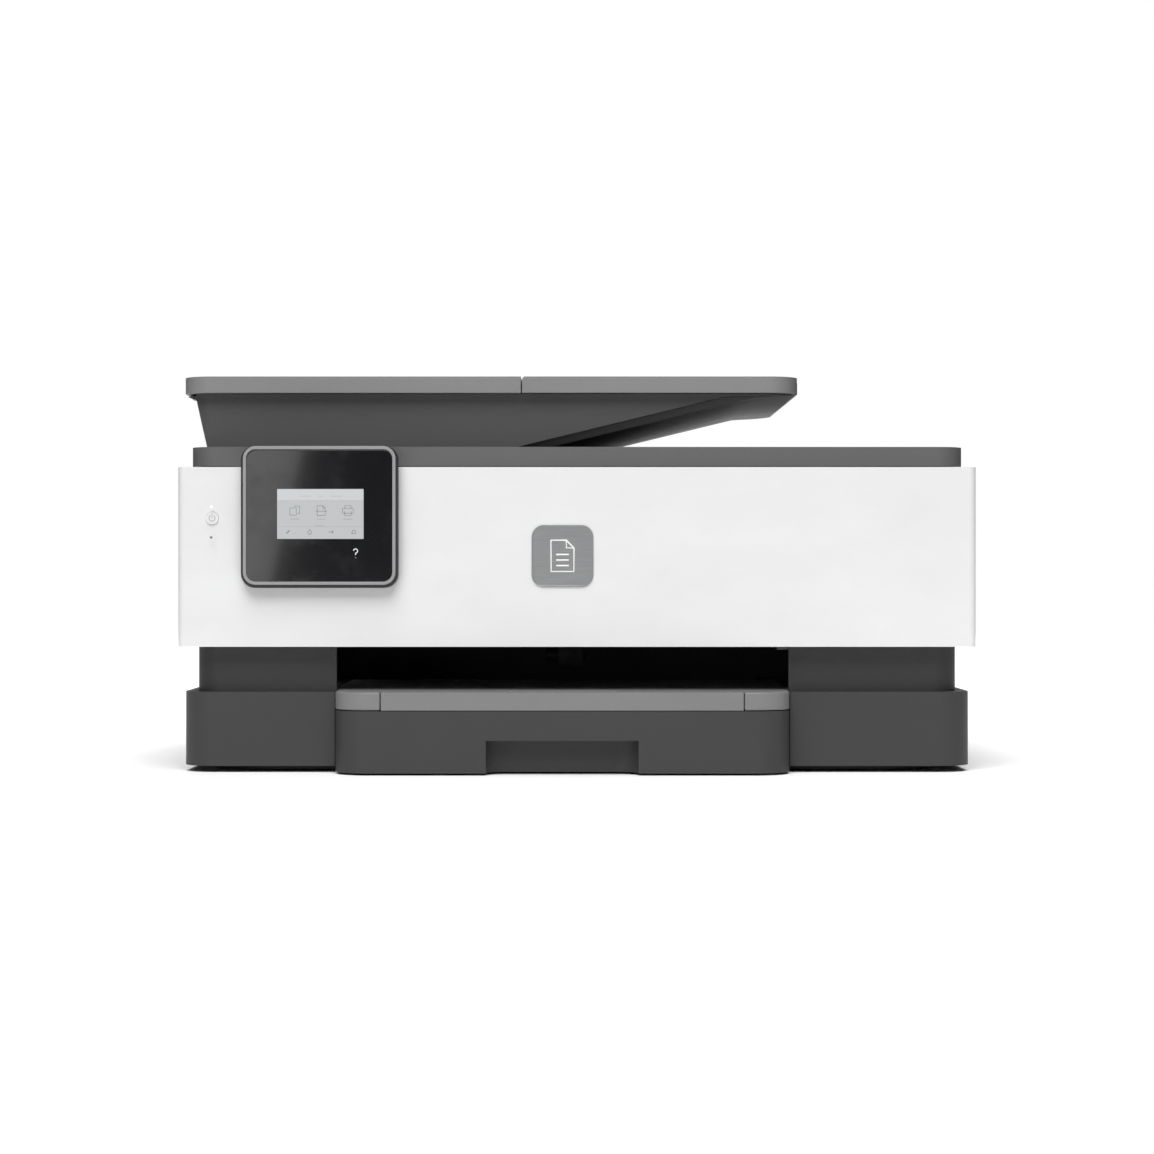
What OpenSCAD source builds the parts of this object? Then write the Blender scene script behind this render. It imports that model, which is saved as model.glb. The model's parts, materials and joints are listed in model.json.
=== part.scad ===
// Inkjet all-in-one printer with a document feeder, built as separate pieces.
// Frame: +Z up, the front faces -Y, origin at the middle of the footprint on the floor.

/* [Overall] */
// Width of the white body
body_w = 460; // [400:1:560]
// Depth of the body, without the part of the paper tray that stands out
body_d = 315; // [290:1:390]
// How far the paper tray stands out of the front
tray_proud = 26; // [14:1:36]
// Height of the dark base, up to the white body
base_h = 71.9; // [68:0.1:88]
// Height of the white body above the base
shell_h = 104.3; // [100:0.1:126]
// Thickness of the moulded walls
wall = 2.6; // [2:0.1:3.4]
// Gap between pieces that part or slide
gap = 0.5; // [0.3:0.1:0.8]
// Radial clearance of a shaft in its bearing
run_fit = 0.05; // [0.02:0.01:0.1]

/* [Base] */
// Height of the wide part of the base
skirt_h = 46.2; // [44:0.1:56]
// How far the base is narrower than the white body, at each side
skirt_in = 2.5; // [1:0.1:6]
// Corner radius of the base in plan
skirt_r = 18; // [10:1:26]
// How far the upper part of the base is set back
waist_in = 12; // [8:0.5:18]
// Height of the plinth under the base
plinth_h = 3.65; // [3:0.05:6]
// Height of the rubber feet
foot_h = 1.2; // [1:0.1:2]

/* [Paper trays] */
// Width of the paper tray
tray_w = 260.1; // [250:0.1:276]
// Middle of the paper path, measured from the middle of the body
path_x = -8.35; // [-12:0.05:0]
// Height of the input tray's top
tray_top = 36.4; // [30:0.1:38]
// Height of the output tray's top
shelf_top = 47; // [46:0.1:54]
// Width of the sliding extender
extender_w = 205.3; // [160:0.1:215]
// Width of the finger recess
grip_w = 86.5; // [70:0.5:110]
// Height of the finger recess
grip_h = 19.7; // [14:0.1:24]
// Width of the widest paper
paper_w = 216; // [200:1:224]

/* [Lid and feeder] */
// How far the lid is narrower than the body, at each side
lid_in = 5.7; // [4:0.1:14]
// Thickness of the scanner lid
lid_t = 11.5; // [10:0.1:16]
// Height of the document feeder above the lid
feeder_h = 42.6; // [38:0.1:50]
// Thickness of the feeder's top plate
plate_t = 9.8; // [9:0.1:12]
// Length of the feeder's top plate along X
plate_w = 363.4; // [330:0.1:390]
// Where the top plate parts, measured from its left end
plate_split = 199.8; // [170:0.1:205]
// How far the feeder is set back from the lid's front
feeder_back = 24; // [16:0.5:40]

/* [Control panel] */
// Width of the control panel
panel_w = 90.1; // [80:0.1:110]
// Height of the control panel
panel_h = 81.6; // [74:0.1:96]
// Left edge of the panel, measured from the body's left side
panel_from_left = 37.4; // [30:0.1:60]
// How far the panel stands out of the front
panel_proud = 8; // [6:0.1:12]
// Width of the picture on the display
screen_w = 49.5; // [40:0.5:70]
// Height of the picture on the display
screen_h = 28.6; // [22:0.1:44]
// Side of the square badge
badge_s = 35.6; // [24:0.1:44]

/* [Mechanism] */
// Radius of the rod that the ink carriage runs on
rod_r = 5; // [4:0.5:6]
// Width of the ink carriage
carriage_w = 84; // [76:1:92]
// Radius of the paper feed roller
feed_r = 7.5; // [6:0.5:9]
// Module of the feed gears
gear_m = 0.8; // [0.7:0.05:0.9]
// Teeth of the feed and output gears
feed_teeth = 50; // [44:2:52]
// Teeth of the gear between them
idler_teeth = 54; // [48:2:56]
// Teeth of the motor pinion
pinion_teeth = 12; // [10:1:14]
// Radius of the belt pulleys
pulley_r = 6; // [5:0.5:7]

/* [Hidden] */
$fn = 64;
eps = 0.01;

// Planes of the body
side_x = body_w / 2;
back_y = (body_d + tray_proud) / 2;
front_y = back_y - body_d;
tray_y = front_y - tray_proud;
deck_z = base_h + shell_h;

// Planes of the base
skirt_x = side_x - skirt_in;
waist_x = side_x - 8.7;
waist_y = front_y + waist_in;
waste_top = skirt_h - 12;
pan_z = plinth_h + wall;
mouth_x0 = path_x - tray_w / 2;
mouth_x1 = path_x + tray_w / 2;

// Front door: it ends just behind the front and turns about its lower edge
door_d = 9.3;
door_seam = 1.3;
door_t = 3;
door_axis_y = front_y + 6;
door_axis_z = base_h + 2.8;
door_knuckle_r = 2.5;
door_pin_r = 1.5;
door_top = deck_z - gap;
shell_y = front_y + door_d + door_seam;
door_ear_x = side_x - 30;

// Control panel
panel_x = -side_x + panel_from_left;
panel_top = deck_z + lid_t;
panel_z = panel_top - panel_h;
panel_back = front_y - gap / 2;
panel_face = front_y - panel_proud;
panel_cx = panel_x + panel_w / 2;
panel_r = 8.3;
glass_in = 3.2;
glass_t = 0.8;
tilt_y = front_y - 2;
tilt_z = panel_top - 4.2;
tilt_arm_w = 25;
screen_x = panel_x + 20.9;
screen_z = panel_z + 28.1;
button_x = -side_x + 20;
button_z = deck_z - 29.9;
button_r = 3.5;
button_gap = 0.3;

// Scanner
glass_x0 = -side_x + 90;
glass_x1 = glass_x0 + 300;
glass_y0 = shell_y + 34;
glass_y1 = glass_y0 + 218;
strip_x0 = glass_x0 - 26;
strip_w = 14;
glass_pane = 3;
shelf_z = deck_z - 26;
bar_w = 14;
bar_z = shelf_z + 8;
scan_rod_r = 3;
scan_rod_y = (glass_y0 + glass_y1) / 2;
scan_rod_z = shelf_z + 6;

// Lid and feeder
feeder_in = 7;
lid_x = side_x - lid_in;
lid_y0 = front_y + 8;
lid_y1 = back_y - 14;
lid_z = deck_z + 0.3;
lid_top = deck_z + lid_t;
lid_axis_y = back_y - 7;
lid_axis_z = lid_z + 6;
lid_hinge_x = side_x - 80;
lid_hinge_w = 12;
feeder_y0 = lid_y0 + feeder_back;
feeder_y1 = lid_y1 - 16;
body_y0 = feeder_y0 + feeder_in;
body_y1 = feeder_y1 - 3;
plate_x0 = -side_x - 2.5;
plate_x1 = plate_x0 + plate_w;
split_x = plate_x0 + plate_split;
feeder_top = lid_top + feeder_h;
plate_z = feeder_top - plate_t;
plate_r = 18;
feeder_side = 14.3;
feeder_skin = 9;
feeder_step = 18;
cavity_x0 = plate_x0 + 27.5;
cavity_x1 = split_x - 12;
cover_axis_x = plate_x0 + 1.7;
cover_pin_r = 0.8;
cover_knuckle_r = 1.6;
cover_axis_z = plate_z + 1.8;
ramp_axis_x = split_x + 2.2;
ramp_axis_z = feeder_top - 2.4;
feeder_roller_r = 9;
feeder_pick_r = 7;
exit_x = split_x - 62;
exit_z = lid_top + 19;
pick_x = split_x - 30;
pick_z = lid_top + 24;
doc_shaft_r = 2.5;
guide_t = 2;

// Paper path
tray_end = back_y - 30;
tray_wall = 2.5;
tray_floor = pan_z + gap;
shelf_z0 = tray_top + 0.4;
shelf_end = tray_y + 190;
lip_d = 24;
stop_w = 60;
stop_d = 20;

// Print mechanism
frame_t = 1.5;
frame_x0 = -side_x + 32;
frame_x1 = side_x - 27;
frame_z0 = base_h + 0.6;
frame_z1 = shelf_z - 2;
frame_y0 = path_y(-52);
frame_y1 = path_y(92);
feed_y = path_y(48);
feed_z = base_h + 14.1;
gear_gap = gear_m * (feed_teeth + idler_teeth) / 2;
idler_y = feed_y - gear_gap;
out_y = feed_y - 2 * gear_gap;
out_r = 6;
feed_shaft_r = 4;
out_shaft_r = 3;
gear_t = 7;
gear_x = frame_x0 - frame_t - 1.5 - gear_t;
pinion_side = 18;
pinion_gap = gear_m * (feed_teeth + pinion_teeth) / 2;
pinion_y = feed_y + pinion_gap * cos(pinion_side);
pinion_z = feed_z + pinion_gap * sin(pinion_side);
motor_r = 13;
idler_pin_r = 2.5;
pinch_r = 4;
pinch_z = feed_z + feed_r + pinch_r + 0.2;
star_r = 3;
star_z = feed_z + out_r + star_r + 0.2;
pick_shaft_y = feed_y + 36;
pick_shaft_z = feed_z - 6;
pick_shaft_r = 3;
pick_arm_y = pick_shaft_y - 50;
pick_arm_z = pick_shaft_z - 18;
pick_roller_r = 9;
rod_y = path_y(24);
rod_z = feed_z + 32;
carriage_x1 = frame_x1 - 7;
carriage_x0 = carriage_x1 - carriage_w;
carriage_y0 = path_y(-30);
carriage_y1 = path_y(40);
carriage_z = feed_z + 10;
carriage_h = 44;
cartridge_n = 4;
carriage_wall = 1.6;
cartridge_gap = 0.4;
cartridge_pitch = (carriage_w - 2 * carriage_wall - cartridge_gap) / cartridge_n;
cartridge_y1 = rod_y - rod_r - 5;
head_z = carriage_z - 5.5;
belt_y = carriage_y1 + 5;
belt_w = 5;
belt_t = 1.2;
belt_z = rod_z + 6;
belt_x0 = frame_x0 + 18;
belt_x1 = frame_x1 - 15;
beam_y = belt_y + 15;
beam_z = belt_z - 20;
sled_x0 = mouth_x1 + 2;

// Y of a place in the print mechanism, which keeps its place in the body's depth
function path_y(y) = (back_y - 170.5) / 2 + y;

// Plan outline with round corners
module rounded(x0, x1, y0, y1, r) {
  translate([x0 + r, y0])
    square([x1 - x0 - 2 * r, y1 - y0]);
  translate([x0, y0 + r])
    square([x1 - x0, y1 - y0 - 2 * r]);
  for (x = [x0 + r, x1 - r])
    for (y = [y0 + r, y1 - r])
      translate([x, y])
        circle(r);
}

// Upright block with round corners in plan
module slab(x0, x1, y0, y1, z0, z1, r) {
  translate([0, 0, z0])
    linear_extrude(z1 - z0)
      rounded(x0, x1, y0, y1, r);
}

// Upright block whose round corners are seen from the front
module front_slab(x0, x1, z0, z1, y0, y1, r) {
  translate([0, y1, 0])
    rotate([90, 0, 0])
      linear_extrude(y1 - y0)
        rounded(x0, x1, z0, z1, r);
}

// Plain block from its two corners
module block(x0, x1, y0, y1, z0, z1) {
  translate([x0, y0, z0])
    cube([x1 - x0, y1 - y0, z1 - z0]);
}

// Round bar along X
module bar_x(x0, x1, y, z, r) {
  translate([x0, y, z])
    rotate([0, 90, 0])
      cylinder(r = r, h = x1 - x0);
}

// Round bar along Y
module bar_y(x, y0, y1, z, r) {
  translate([x, y1, z])
    rotate([90, 0, 0])
      cylinder(r = r, h = y1 - y0);
}

// Copy to both sides of the body
module both_sides() {
  children();
  mirror([1, 0, 0])
    children();
}

// Involute gear that turns about X; one tooth points along angle turn from +Y towards +Z
module gear_x(x0, x1, y, z, teeth, bore, turn) {
  rp = gear_m * teeth / 2;
  rb = rp * cos(20);
  ra = rp + gear_m;
  rr = rp - 1.25 * gear_m;
  backlash = 0.18;
  half = 90 / teeth - backlash / 2 / rp * 180 / PI / 2 + inv(20);
  r_start = max(rb, rr);
  flank = [for (i = [0:3]) r_start + (ra - r_start) * i / 3];
  tooth = concat(
    [[rr, -half]],
    [for (r = flank) [r, -half + inv(acos(min(1, rb / r)))]],
    [for (i = [3:-1:0]) [flank[i], half - inv(acos(min(1, rb / flank[i])))]],
    [[rr, half]]
  );
  outline = [
    for (k = [0:teeth - 1])
      for (p = tooth)
        let (a = turn + k * 360 / teeth + p[1]) [p[0] * cos(a), p[0] * sin(a)]
  ];
  translate([x0, y, z])
    rotate([90, 0, 90])
      linear_extrude(x1 - x0)
        difference() {
          polygon(outline);
          circle(bore);
        }
}

// Involute of an angle, in degrees
function inv(a) = tan(a) * 180 / PI - a;

// Turn of a gear that meshes with one whose tooth points at it along angle a
function meshed(a, teeth) = a + 180 + 180 / teeth;

// ---- Base ----

module base_pan() {
  color("#202124") {
    slab(-skirt_x + 15, skirt_x - 15, front_y + 10, back_y - 10, foot_h, plinth_h, 36);
    slab(-skirt_x + wall + gap, skirt_x - wall - gap, front_y + wall + gap, back_y - wall - gap,
         plinth_h, pan_z, skirt_r - wall - gap);
    for (x = [mouth_x0 - 1.5 - wall, mouth_x1 + 1.5])
      block(x, x + wall, waist_y + 5, tray_end + 8, pan_z - eps, shelf_top - 2.5);
  }
}

module rubber_feet() {
  color("#151515")
    both_sides()
      for (y = [front_y + 42, back_y - 42])
        translate([skirt_x - 48, y, 0])
          cylinder(r = 9, h = foot_h);
}

module base_shell() {
  color("#4a4a4c")
    difference() {
      union() {
        slab(-skirt_x, skirt_x, front_y, back_y - 0.5, plinth_h, skirt_h, skirt_r);
        slab(-waist_x, waist_x, waist_y, back_y - 2, skirt_h - eps, base_h, skirt_r - 3);
        both_sides()
          translate([door_ear_x, 0, 0])
            door_ear();
      }
      slab(-skirt_x + wall, skirt_x - wall, front_y + wall, back_y - 0.5 - wall,
           plinth_h - 1, skirt_h - wall, skirt_r - wall);
      slab(-waist_x + wall, waist_x - wall, waist_y + wall, back_y - 2 - wall,
           skirt_h - wall - 1, base_h + 1, skirt_r - 3 - wall);
      block(mouth_x0 - 1, mouth_x1 + 1, front_y - 1, waist_y + wall + 6, 0, base_h + 1);
      block(inlet_x - inlet_w / 2 - 0.3, inlet_x + inlet_w / 2 + 0.3, back_y - 12, back_y + 1,
            inlet_z - inlet_h / 2 - 0.3, inlet_z + inlet_h / 2 + 0.3);
    }
}

// Ear with the pin that the front door turns on
module door_ear() {
  block(0, 4, door_axis_y - 1.8, waist_y + wall, base_h - eps, door_axis_z);
  bar_x(0, 4, door_axis_y, door_axis_z, door_knuckle_r - 0.1);
  bar_x(4 - eps, 12, door_axis_y, door_axis_z, door_pin_r);
}

inlet_x = -side_x + 48;
inlet_z = 28;
inlet_w = 26;
inlet_h = 17;

module power_inlet() {
  color("#1c1c1d")
    difference() {
      block(inlet_x - inlet_w / 2, inlet_x + inlet_w / 2, back_y - 22, back_y - 0.5,
            inlet_z - inlet_h / 2, inlet_z + inlet_h / 2);
      for (x = [-4.5, 4.5])
        bar_y(inlet_x + x, back_y - 16, back_y + 1, inlet_z, 4.6);
      block(inlet_x - 4.5, inlet_x + 4.5, back_y - 16, back_y + 1, inlet_z - 4.6, inlet_z + 4.6);
    }
  color("silver")
    for (x = [-4.5, 4.5])
      bar_y(inlet_x + x, back_y - 16 - eps, back_y - 5, inlet_z, 1.2);
}

module power_supply() {
  color("#2b2b2d")
    difference() {
      block(-side_x + 14, mouth_x0 - 10, back_y - 160, back_y - 22, pan_z, skirt_h - wall - 1.5);
      for (i = [0:7])
        block(-side_x + 24, mouth_x0 - 20, back_y - 150 + i * 14, back_y - 144 + i * 14,
              skirt_h - wall - 4, skirt_h);
    }
}

module waste_ink_tray() {
  color("#3a3a3c")
    difference() {
      block(mouth_x1 + 8, side_x - 26, path_y(10), path_y(120), pan_z, waste_top);
      block(mouth_x1 + 10, side_x - 28, path_y(12), path_y(118), pan_z + 2, waste_top + 1);
    }
  color("#d9d6cc")
    block(mouth_x1 + 10, side_x - 28, path_y(12), path_y(118), pan_z + 2 - eps, waste_top - 3);
}

// ---- White body ----

module upper_shell() {
  color("#ececed")
    difference() {
      slab(-side_x, side_x, shell_y - 20, back_y, base_h, deck_z, 6);
      block(-side_x - 1, side_x + 1, shell_y - 21, shell_y, base_h - 1, deck_z + 1);
      block(-side_x + wall, side_x - wall, shell_y - 1, back_y - wall, base_h - 1, shelf_z);
      block(-side_x + wall, side_x - wall, shell_y + wall, back_y - wall,
            shelf_z + 2, deck_z - 3.7);
      block(glass_x0 + 3, glass_x1 - 3, glass_y0 + 3, glass_y1 - 3, deck_z - 5, deck_z + 1);
      block(glass_x0, glass_x1, glass_y0, glass_y1, deck_z - glass_pane, deck_z + 1);
      block(strip_x0 + 2, strip_x0 + strip_w - 2, glass_y0 + 3, glass_y1 - 3,
            deck_z - 5, deck_z + 1);
      block(strip_x0, strip_x0 + strip_w, glass_y0, glass_y1, deck_z - glass_pane, deck_z + 1);
      block(mouth_x0 + 10, mouth_x1 - 10, back_y - wall - 1, back_y + 1,
            rear_z0 - 0.9, rear_z1 + 0.5);
      bar_x(mouth_x0 + 5, mouth_x1 - 5, rear_axis_y, rear_axis_z, 0.8 + run_fit);
      port_block(0.3, back_y - wall - 1, back_y + 1);
    }
  color("#ececed")
    for (x = [-side_x + wall - eps, side_x - wall - 4])
      block(x, x + 4 + eps, scan_rod_y - 6, scan_rod_y + 6, shelf_z + 2 - eps, scan_rod_z - scan_rod_r);
}

rear_z0 = base_h + 6.5;
rear_z1 = base_h + 55.7;
rear_axis_y = back_y - wall / 2;
rear_axis_z = rear_z0 + 1.5;

module rear_door() {
  color("#e6e6e7") {
    block(mouth_x0 + 10.5, mouth_x1 - 10.5, back_y - wall, back_y, rear_z0, rear_z1);
    block(mouth_x0 + 16, mouth_x1 - 16, back_y - wall - 5, back_y - wall + eps,
          rear_z0 + 22, rear_z0 + 25);
    bar_x(mouth_x0 + 6.5, mouth_x1 - 6.5, rear_axis_y, rear_axis_z, 0.8);
  }
}

module scanner_glass() {
  color("#9fb4b8") {
    block(glass_x0 + 0.2, glass_x1 - 0.2, glass_y0 + 0.2, glass_y1 - 0.2,
          deck_z - glass_pane, deck_z - 0.3);
    block(strip_x0 + 0.2, strip_x0 + strip_w - 0.2, glass_y0 + 0.2, glass_y1 - 0.2,
          deck_z - glass_pane, deck_z - 0.3);
  }
}

module scan_rod() {
  color("silver")
    bar_x(-side_x + wall, side_x - wall, scan_rod_y, scan_rod_z, scan_rod_r);
}

module scan_bar() {
  color("#1f1f21")
    difference() {
      union() {
        block(strip_x0, strip_x0 + bar_w, glass_y0 + 2, glass_y1 - 2, bar_z, deck_z - 5.5);
        block(strip_x0 - 6, strip_x0 + bar_w + 6, scan_rod_y - 9, scan_rod_y + 9,
              shelf_z + 2.6, bar_z + 3);
      }
      bar_x(strip_x0 - 7, strip_x0 + bar_w + 7, scan_rod_y, scan_rod_z, scan_rod_r + run_fit);
      block(strip_x0 + 4, strip_x0 + 9, glass_y0 + 5, glass_y1 - 5, deck_z - 8, deck_z - 5);
    }
}

module main_board() {
  x = side_x - 21;
  color("#1d5b3a")
    block(x, x + 1.6, path_y(-20), back_y - 12, frame_z0 + 9, frame_z1 - 2);
  color("#2a2a2a") {
    for (p = [[10, 27], [44, 43], [70, 23]])
      block(x - 3.5, x + eps, path_y(p[0]), path_y(p[0] + 18), frame_z0 + p[1],
            frame_z0 + p[1] + 16);
  }
  color("silver")
    port_block(0, back_y - 22, back_y - 0.5);
}

// Sockets at the end of the main board; grow is their clearance
module port_block(grow, y0, y1) {
  x = side_x - 21 + eps;
  for (p = [[frame_z0 + 12, 12], [frame_z0 + 28, 14]])
    block(x - 14 - grow, x + grow, y0, y1, p[0] - grow, p[0] + p[1] + grow);
}

module front_door() {
  arm_x = panel_cx - tilt_arm_w / 2;
  color("#ececed")
    difference() {
      union() {
        difference() {
          slab(-side_x, side_x, front_y, front_y + 2 * door_d, base_h + 0.3, door_top, 4);
          block(-side_x - 1, side_x + 1, front_y + door_d, front_y + 3 * door_d,
                base_h - 1, deck_z + 1);
          block(-side_x + door_t, side_x - door_t, front_y + door_t, front_y + 3 * door_d,
                base_h + 0.3 + door_t, door_top - door_t);
        }
        both_sides()
          bar_x(door_ear_x + 4.3, door_ear_x + 12, door_axis_y, door_axis_z, door_knuckle_r);
        block(arm_x, arm_x + tilt_arm_w, front_y + 0.2, front_y + door_t, tilt_z - 25, tilt_z + 2);
        bar_x(arm_x, arm_x + tilt_arm_w, tilt_y, tilt_z, 2.6);
        block(arm_x, arm_x + tilt_arm_w, tilt_y, front_y + 1, tilt_z - 2.6, tilt_z + 2);
      }
      both_sides() {
        bar_x(door_ear_x + 4, door_ear_x + 13, door_axis_y, door_axis_z, door_pin_r + run_fit);
        block(door_ear_x - 0.4, door_ear_x + 4.3, front_y + door_t - 0.6, front_y + door_d + 1,
              base_h - 1, door_axis_z + 4);
      }
      bar_x(arm_x - 1, arm_x + tilt_arm_w + 1, tilt_y, tilt_z, door_pin_r + run_fit);
      bar_y(button_x, front_y - 1, front_y + door_t + 1, button_z, button_r + button_gap);
    }
}

module badge() {
  color("#b0b2b4")
    front_slab(badge_x - badge_s / 2, badge_x + badge_s / 2, badge_z - badge_s / 2,
               badge_z + badge_s / 2, front_y - 0.8, front_y, 7);
}

badge_x = path_x;
badge_z = base_h + 52.6;

module power_button() {
  color("#e2e2e3") {
    bar_y(button_x, front_y - 0.7, front_y + door_t + 0.5, button_z, button_r);
    bar_y(button_x, front_y + door_t + 0.5 - eps, front_y + door_t + 1.5, button_z, button_r + 1.5);
  }
}

module panel_housing() {
  arm_x = panel_cx - tilt_arm_w / 2;
  color("#2a2b2d") {
    difference() {
      front_slab(panel_x, panel_x + panel_w, panel_z, panel_top, panel_face + glass_t + 1,
                 panel_back, panel_r);
      block(arm_x - 1, arm_x + tilt_arm_w + 1, tilt_y - 3, front_y + 1, tilt_z - 5, panel_top - 1);
      block(arm_x - 1, arm_x + tilt_arm_w + 1, tilt_y + 0.5, front_y + 1, tilt_z, panel_top + 1);
    }
    bar_x(arm_x - 1.1, arm_x + tilt_arm_w + 1.1, tilt_y, tilt_z, door_pin_r);
  }
  color("#8f9092")
    difference() {
      front_slab(panel_x + 1.3, panel_x + panel_w - 1.3, panel_z + 1.3, panel_top - 1.3,
                 panel_face + 0.2, panel_face + glass_t + 1 + eps, panel_r - 1.3);
      front_slab(panel_x + glass_in, panel_x + panel_w - glass_in, panel_z + glass_in,
                 panel_top - glass_in, panel_face, panel_face + glass_t + 1, panel_r - glass_in);
    }
}

module panel_glass() {
  color("#1a1b1d")
    difference() {
      front_slab(panel_x + glass_in, panel_x + panel_w - glass_in, panel_z + glass_in,
                 panel_top - glass_in, panel_face + 0.2, panel_face + glass_t + 1,
                 panel_r - glass_in);
      block(screen_x, screen_x + screen_w, panel_face, panel_face + 1,
            screen_z, screen_z + screen_h);
    }
}

module display_screen() {
  color("#c8cacd")
    block(screen_x, screen_x + screen_w, panel_face + 0.15, panel_face + 1,
          screen_z, screen_z + screen_h);
}

// ---- Lid and document feeder ----

module scanner_lid() {
  color("#666769")
    difference() {
      union() {
        slab(-lid_x, lid_x, lid_y0, lid_y1, lid_z, lid_top, 15);
        both_sides()
          translate([lid_hinge_x, 0, 0]) {
            bar_x(0, lid_hinge_w, lid_axis_y, lid_axis_z, 5);
            block(0, lid_hinge_w, lid_y1 - 4, lid_axis_y, lid_axis_z - 4, lid_axis_z + 4);
          }
      }
      both_sides()
        bar_x(lid_hinge_x - 1, lid_hinge_x + lid_hinge_w + 1, lid_axis_y, lid_axis_z,
              2.5 + run_fit);
      slab(glass_x0 - 12, glass_x1 + 8, glass_y0 - 4, glass_y1 + 4, lid_z - 1, lid_z + 7, 4);
      block(strip_x0 - 2, strip_x0 + strip_w + 2, glass_y0, glass_y1, lid_z - 1, lid_z + 2);
    }
}

module lid_pad() {
  color("#f2f2ee")
    slab(glass_x0 - 10, glass_x1 + 6, glass_y0 - 2, glass_y1 + 2, lid_z, lid_z + 7, 3);
}

module lid_hinges() {
  color("#39393b")
    both_sides() {
      block(lid_hinge_x + lid_hinge_w + 0.3, lid_hinge_x + lid_hinge_w + 7, lid_axis_y - 5,
            lid_axis_y + 5, deck_z, lid_axis_z + 4);
      bar_x(lid_hinge_x, lid_hinge_x + lid_hinge_w + 1, lid_axis_y, lid_axis_z, 2.5);
    }
}

// Front view of the feeder's body; step is how much further right its inner part reaches
module feeder_outline(step) {
  polygon([
    [plate_x0 + feeder_side, lid_top],
    [split_x - 5 + step, lid_top],
    [split_x - 3 + step, lid_top + 1.4],
    [plate_x1 - 44 + step, plate_z - 1.6],
    [plate_x1 - 1.5, plate_z],
    [plate_x0 + 7.3, plate_z],
    [plate_x0 + 7.3, plate_z - 0.9],
    [plate_x0 + 0.8, plate_z - 0.9],
    [plate_x0 + 7.3, plate_z - 3.4],
  ]);
}

module feeder_body() {
  color("#4e4e51")
    difference() {
      intersection() {
        union() {
          translate([0, body_y1, 0])
            rotate([90, 0, 0])
              linear_extrude(body_y1 - body_y0)
                feeder_outline(0);
          translate([0, body_y1 - feeder_skin, 0])
            rotate([90, 0, 0])
              linear_extrude(body_y1 - body_y0 - 2 * feeder_skin)
                feeder_outline(feeder_step);
        }
        slab(plate_x0, plate_x1 - 1.5, body_y0, body_y1, lid_top - 1, plate_z + 1, plate_r);
      }
      block(cavity_x0, cavity_x1, feeder_y0 + 14, feeder_y1 - 14, lid_top + 5, plate_z + 1);
      block(cavity_x1 - 1, split_x + 60, feeder_y0 + 22, feeder_y1 - 22, lid_top + 3.5,
            lid_top + 8);
      bar_y(exit_x, feeder_y0 + 8, feeder_y1 - 8, exit_z, doc_shaft_r + run_fit);
      bar_y(pick_x, feeder_y0 + 8, feeder_y1 - 8, pick_z, doc_shaft_r + run_fit);
    }
  color("#4e4e51")
    for (y = [feeder_y0 + 40, feeder_y1 - 50])
      feeder_ear(cover_axis_x, cover_axis_z, y);
  color("#4e4e51")
    for (y = [feeder_y0 + 8, feeder_y1 - 8])
      translate([ramp_axis_x, y, 0]) {
        difference() {
          union() {
            block(-2.2, 2.2, 0, 4, plate_z - eps, ramp_axis_z);
            bar_y(0, 0, 4, ramp_axis_z, 2.2);
          }
          bar_y(0, -1, 5, ramp_axis_z, 1 + run_fit);
        }
      }
}

// Ear at the feeder's left end that the jam cover turns on
module feeder_ear(x, z, y) {
  difference() {
    union() {
      bar_y(x, y, y + 10, z, cover_knuckle_r);
      block(x - 1, x + 1, y, y + 10, plate_z - 1.2, z);
    }
    bar_y(x, y - 1, y + 11, z, cover_pin_r + run_fit);
  }
}

module feeder_cover() {
  color("#9a9b9d")
    difference() {
      slab(plate_x0, split_x + plate_r + 20, feeder_y0, feeder_y1, plate_z + 0.2, feeder_top,
           plate_r);
      block(split_x - 0.4, split_x + 60, feeder_y0 - 1, feeder_y1 + 1, plate_z - 1,
            feeder_top + 1);
      block(plate_x0 + 20, split_x + 1, feeder_y0 + 14, feeder_y1 - 14, plate_z - 1,
            feeder_top - wall);
      for (y = [feeder_y0 + 39.5, feeder_y1 - 50.5])
        block(plate_x0 - 1, plate_x0 + 5.2, y, y + 11, plate_z - 1, plate_z + 5);
    }
  color("#9a9b9d")
    for (y = [feeder_y0 + 39, feeder_y1 - 51])
      bar_y(cover_axis_x, y, y + 12, cover_axis_z, cover_pin_r);
}

module feeder_tray() {
  deep = feeder_y1 - feeder_y0;
  color("#9a9b9d")
    difference() {
      slab(split_x - 40, plate_x1, feeder_y0, feeder_y1, plate_z + 0.3, feeder_top, plate_r);
      block(split_x - 50, split_x + 0.4, feeder_y0 - 1, feeder_y1 + 1, plate_z - 1,
            feeder_top + 1);
      // bevel that lets the plate tip without touching the cover
      translate([split_x + 0.4, feeder_y1 + 1, feeder_top])
        rotate([90, 0, 0])
          linear_extrude(deep + 2)
            polygon([[-1, 1], [-1, -1.2], [0, -1.2], [1.2, 0], [1.2, 1]]);
      // channel for the paper, which falls towards the rollers
      translate([0, feeder_y1 - 14, 0])
        rotate([90, 0, 0])
          linear_extrude(deep - 28)
            polygon([
              [split_x - 1, plate_z + 1.6], [split_x + 70, plate_z + 2.6],
              [plate_x1 + 1, plate_z + 7], [plate_x1 + 1, feeder_top + 1],
              [split_x - 1, feeder_top + 1],
            ]);
      for (y = [feeder_y0 + 7.5, feeder_y1 - 8.5])
        block(split_x - 1, split_x + 4.9, y, y + 5, plate_z - 1, feeder_top + 1);
    }
  color("#9a9b9d")
    for (y = [feeder_y0 + 7, feeder_y1 - 9])
      bar_y(ramp_axis_x, y, y + 6, ramp_axis_z, 1);
}

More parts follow.
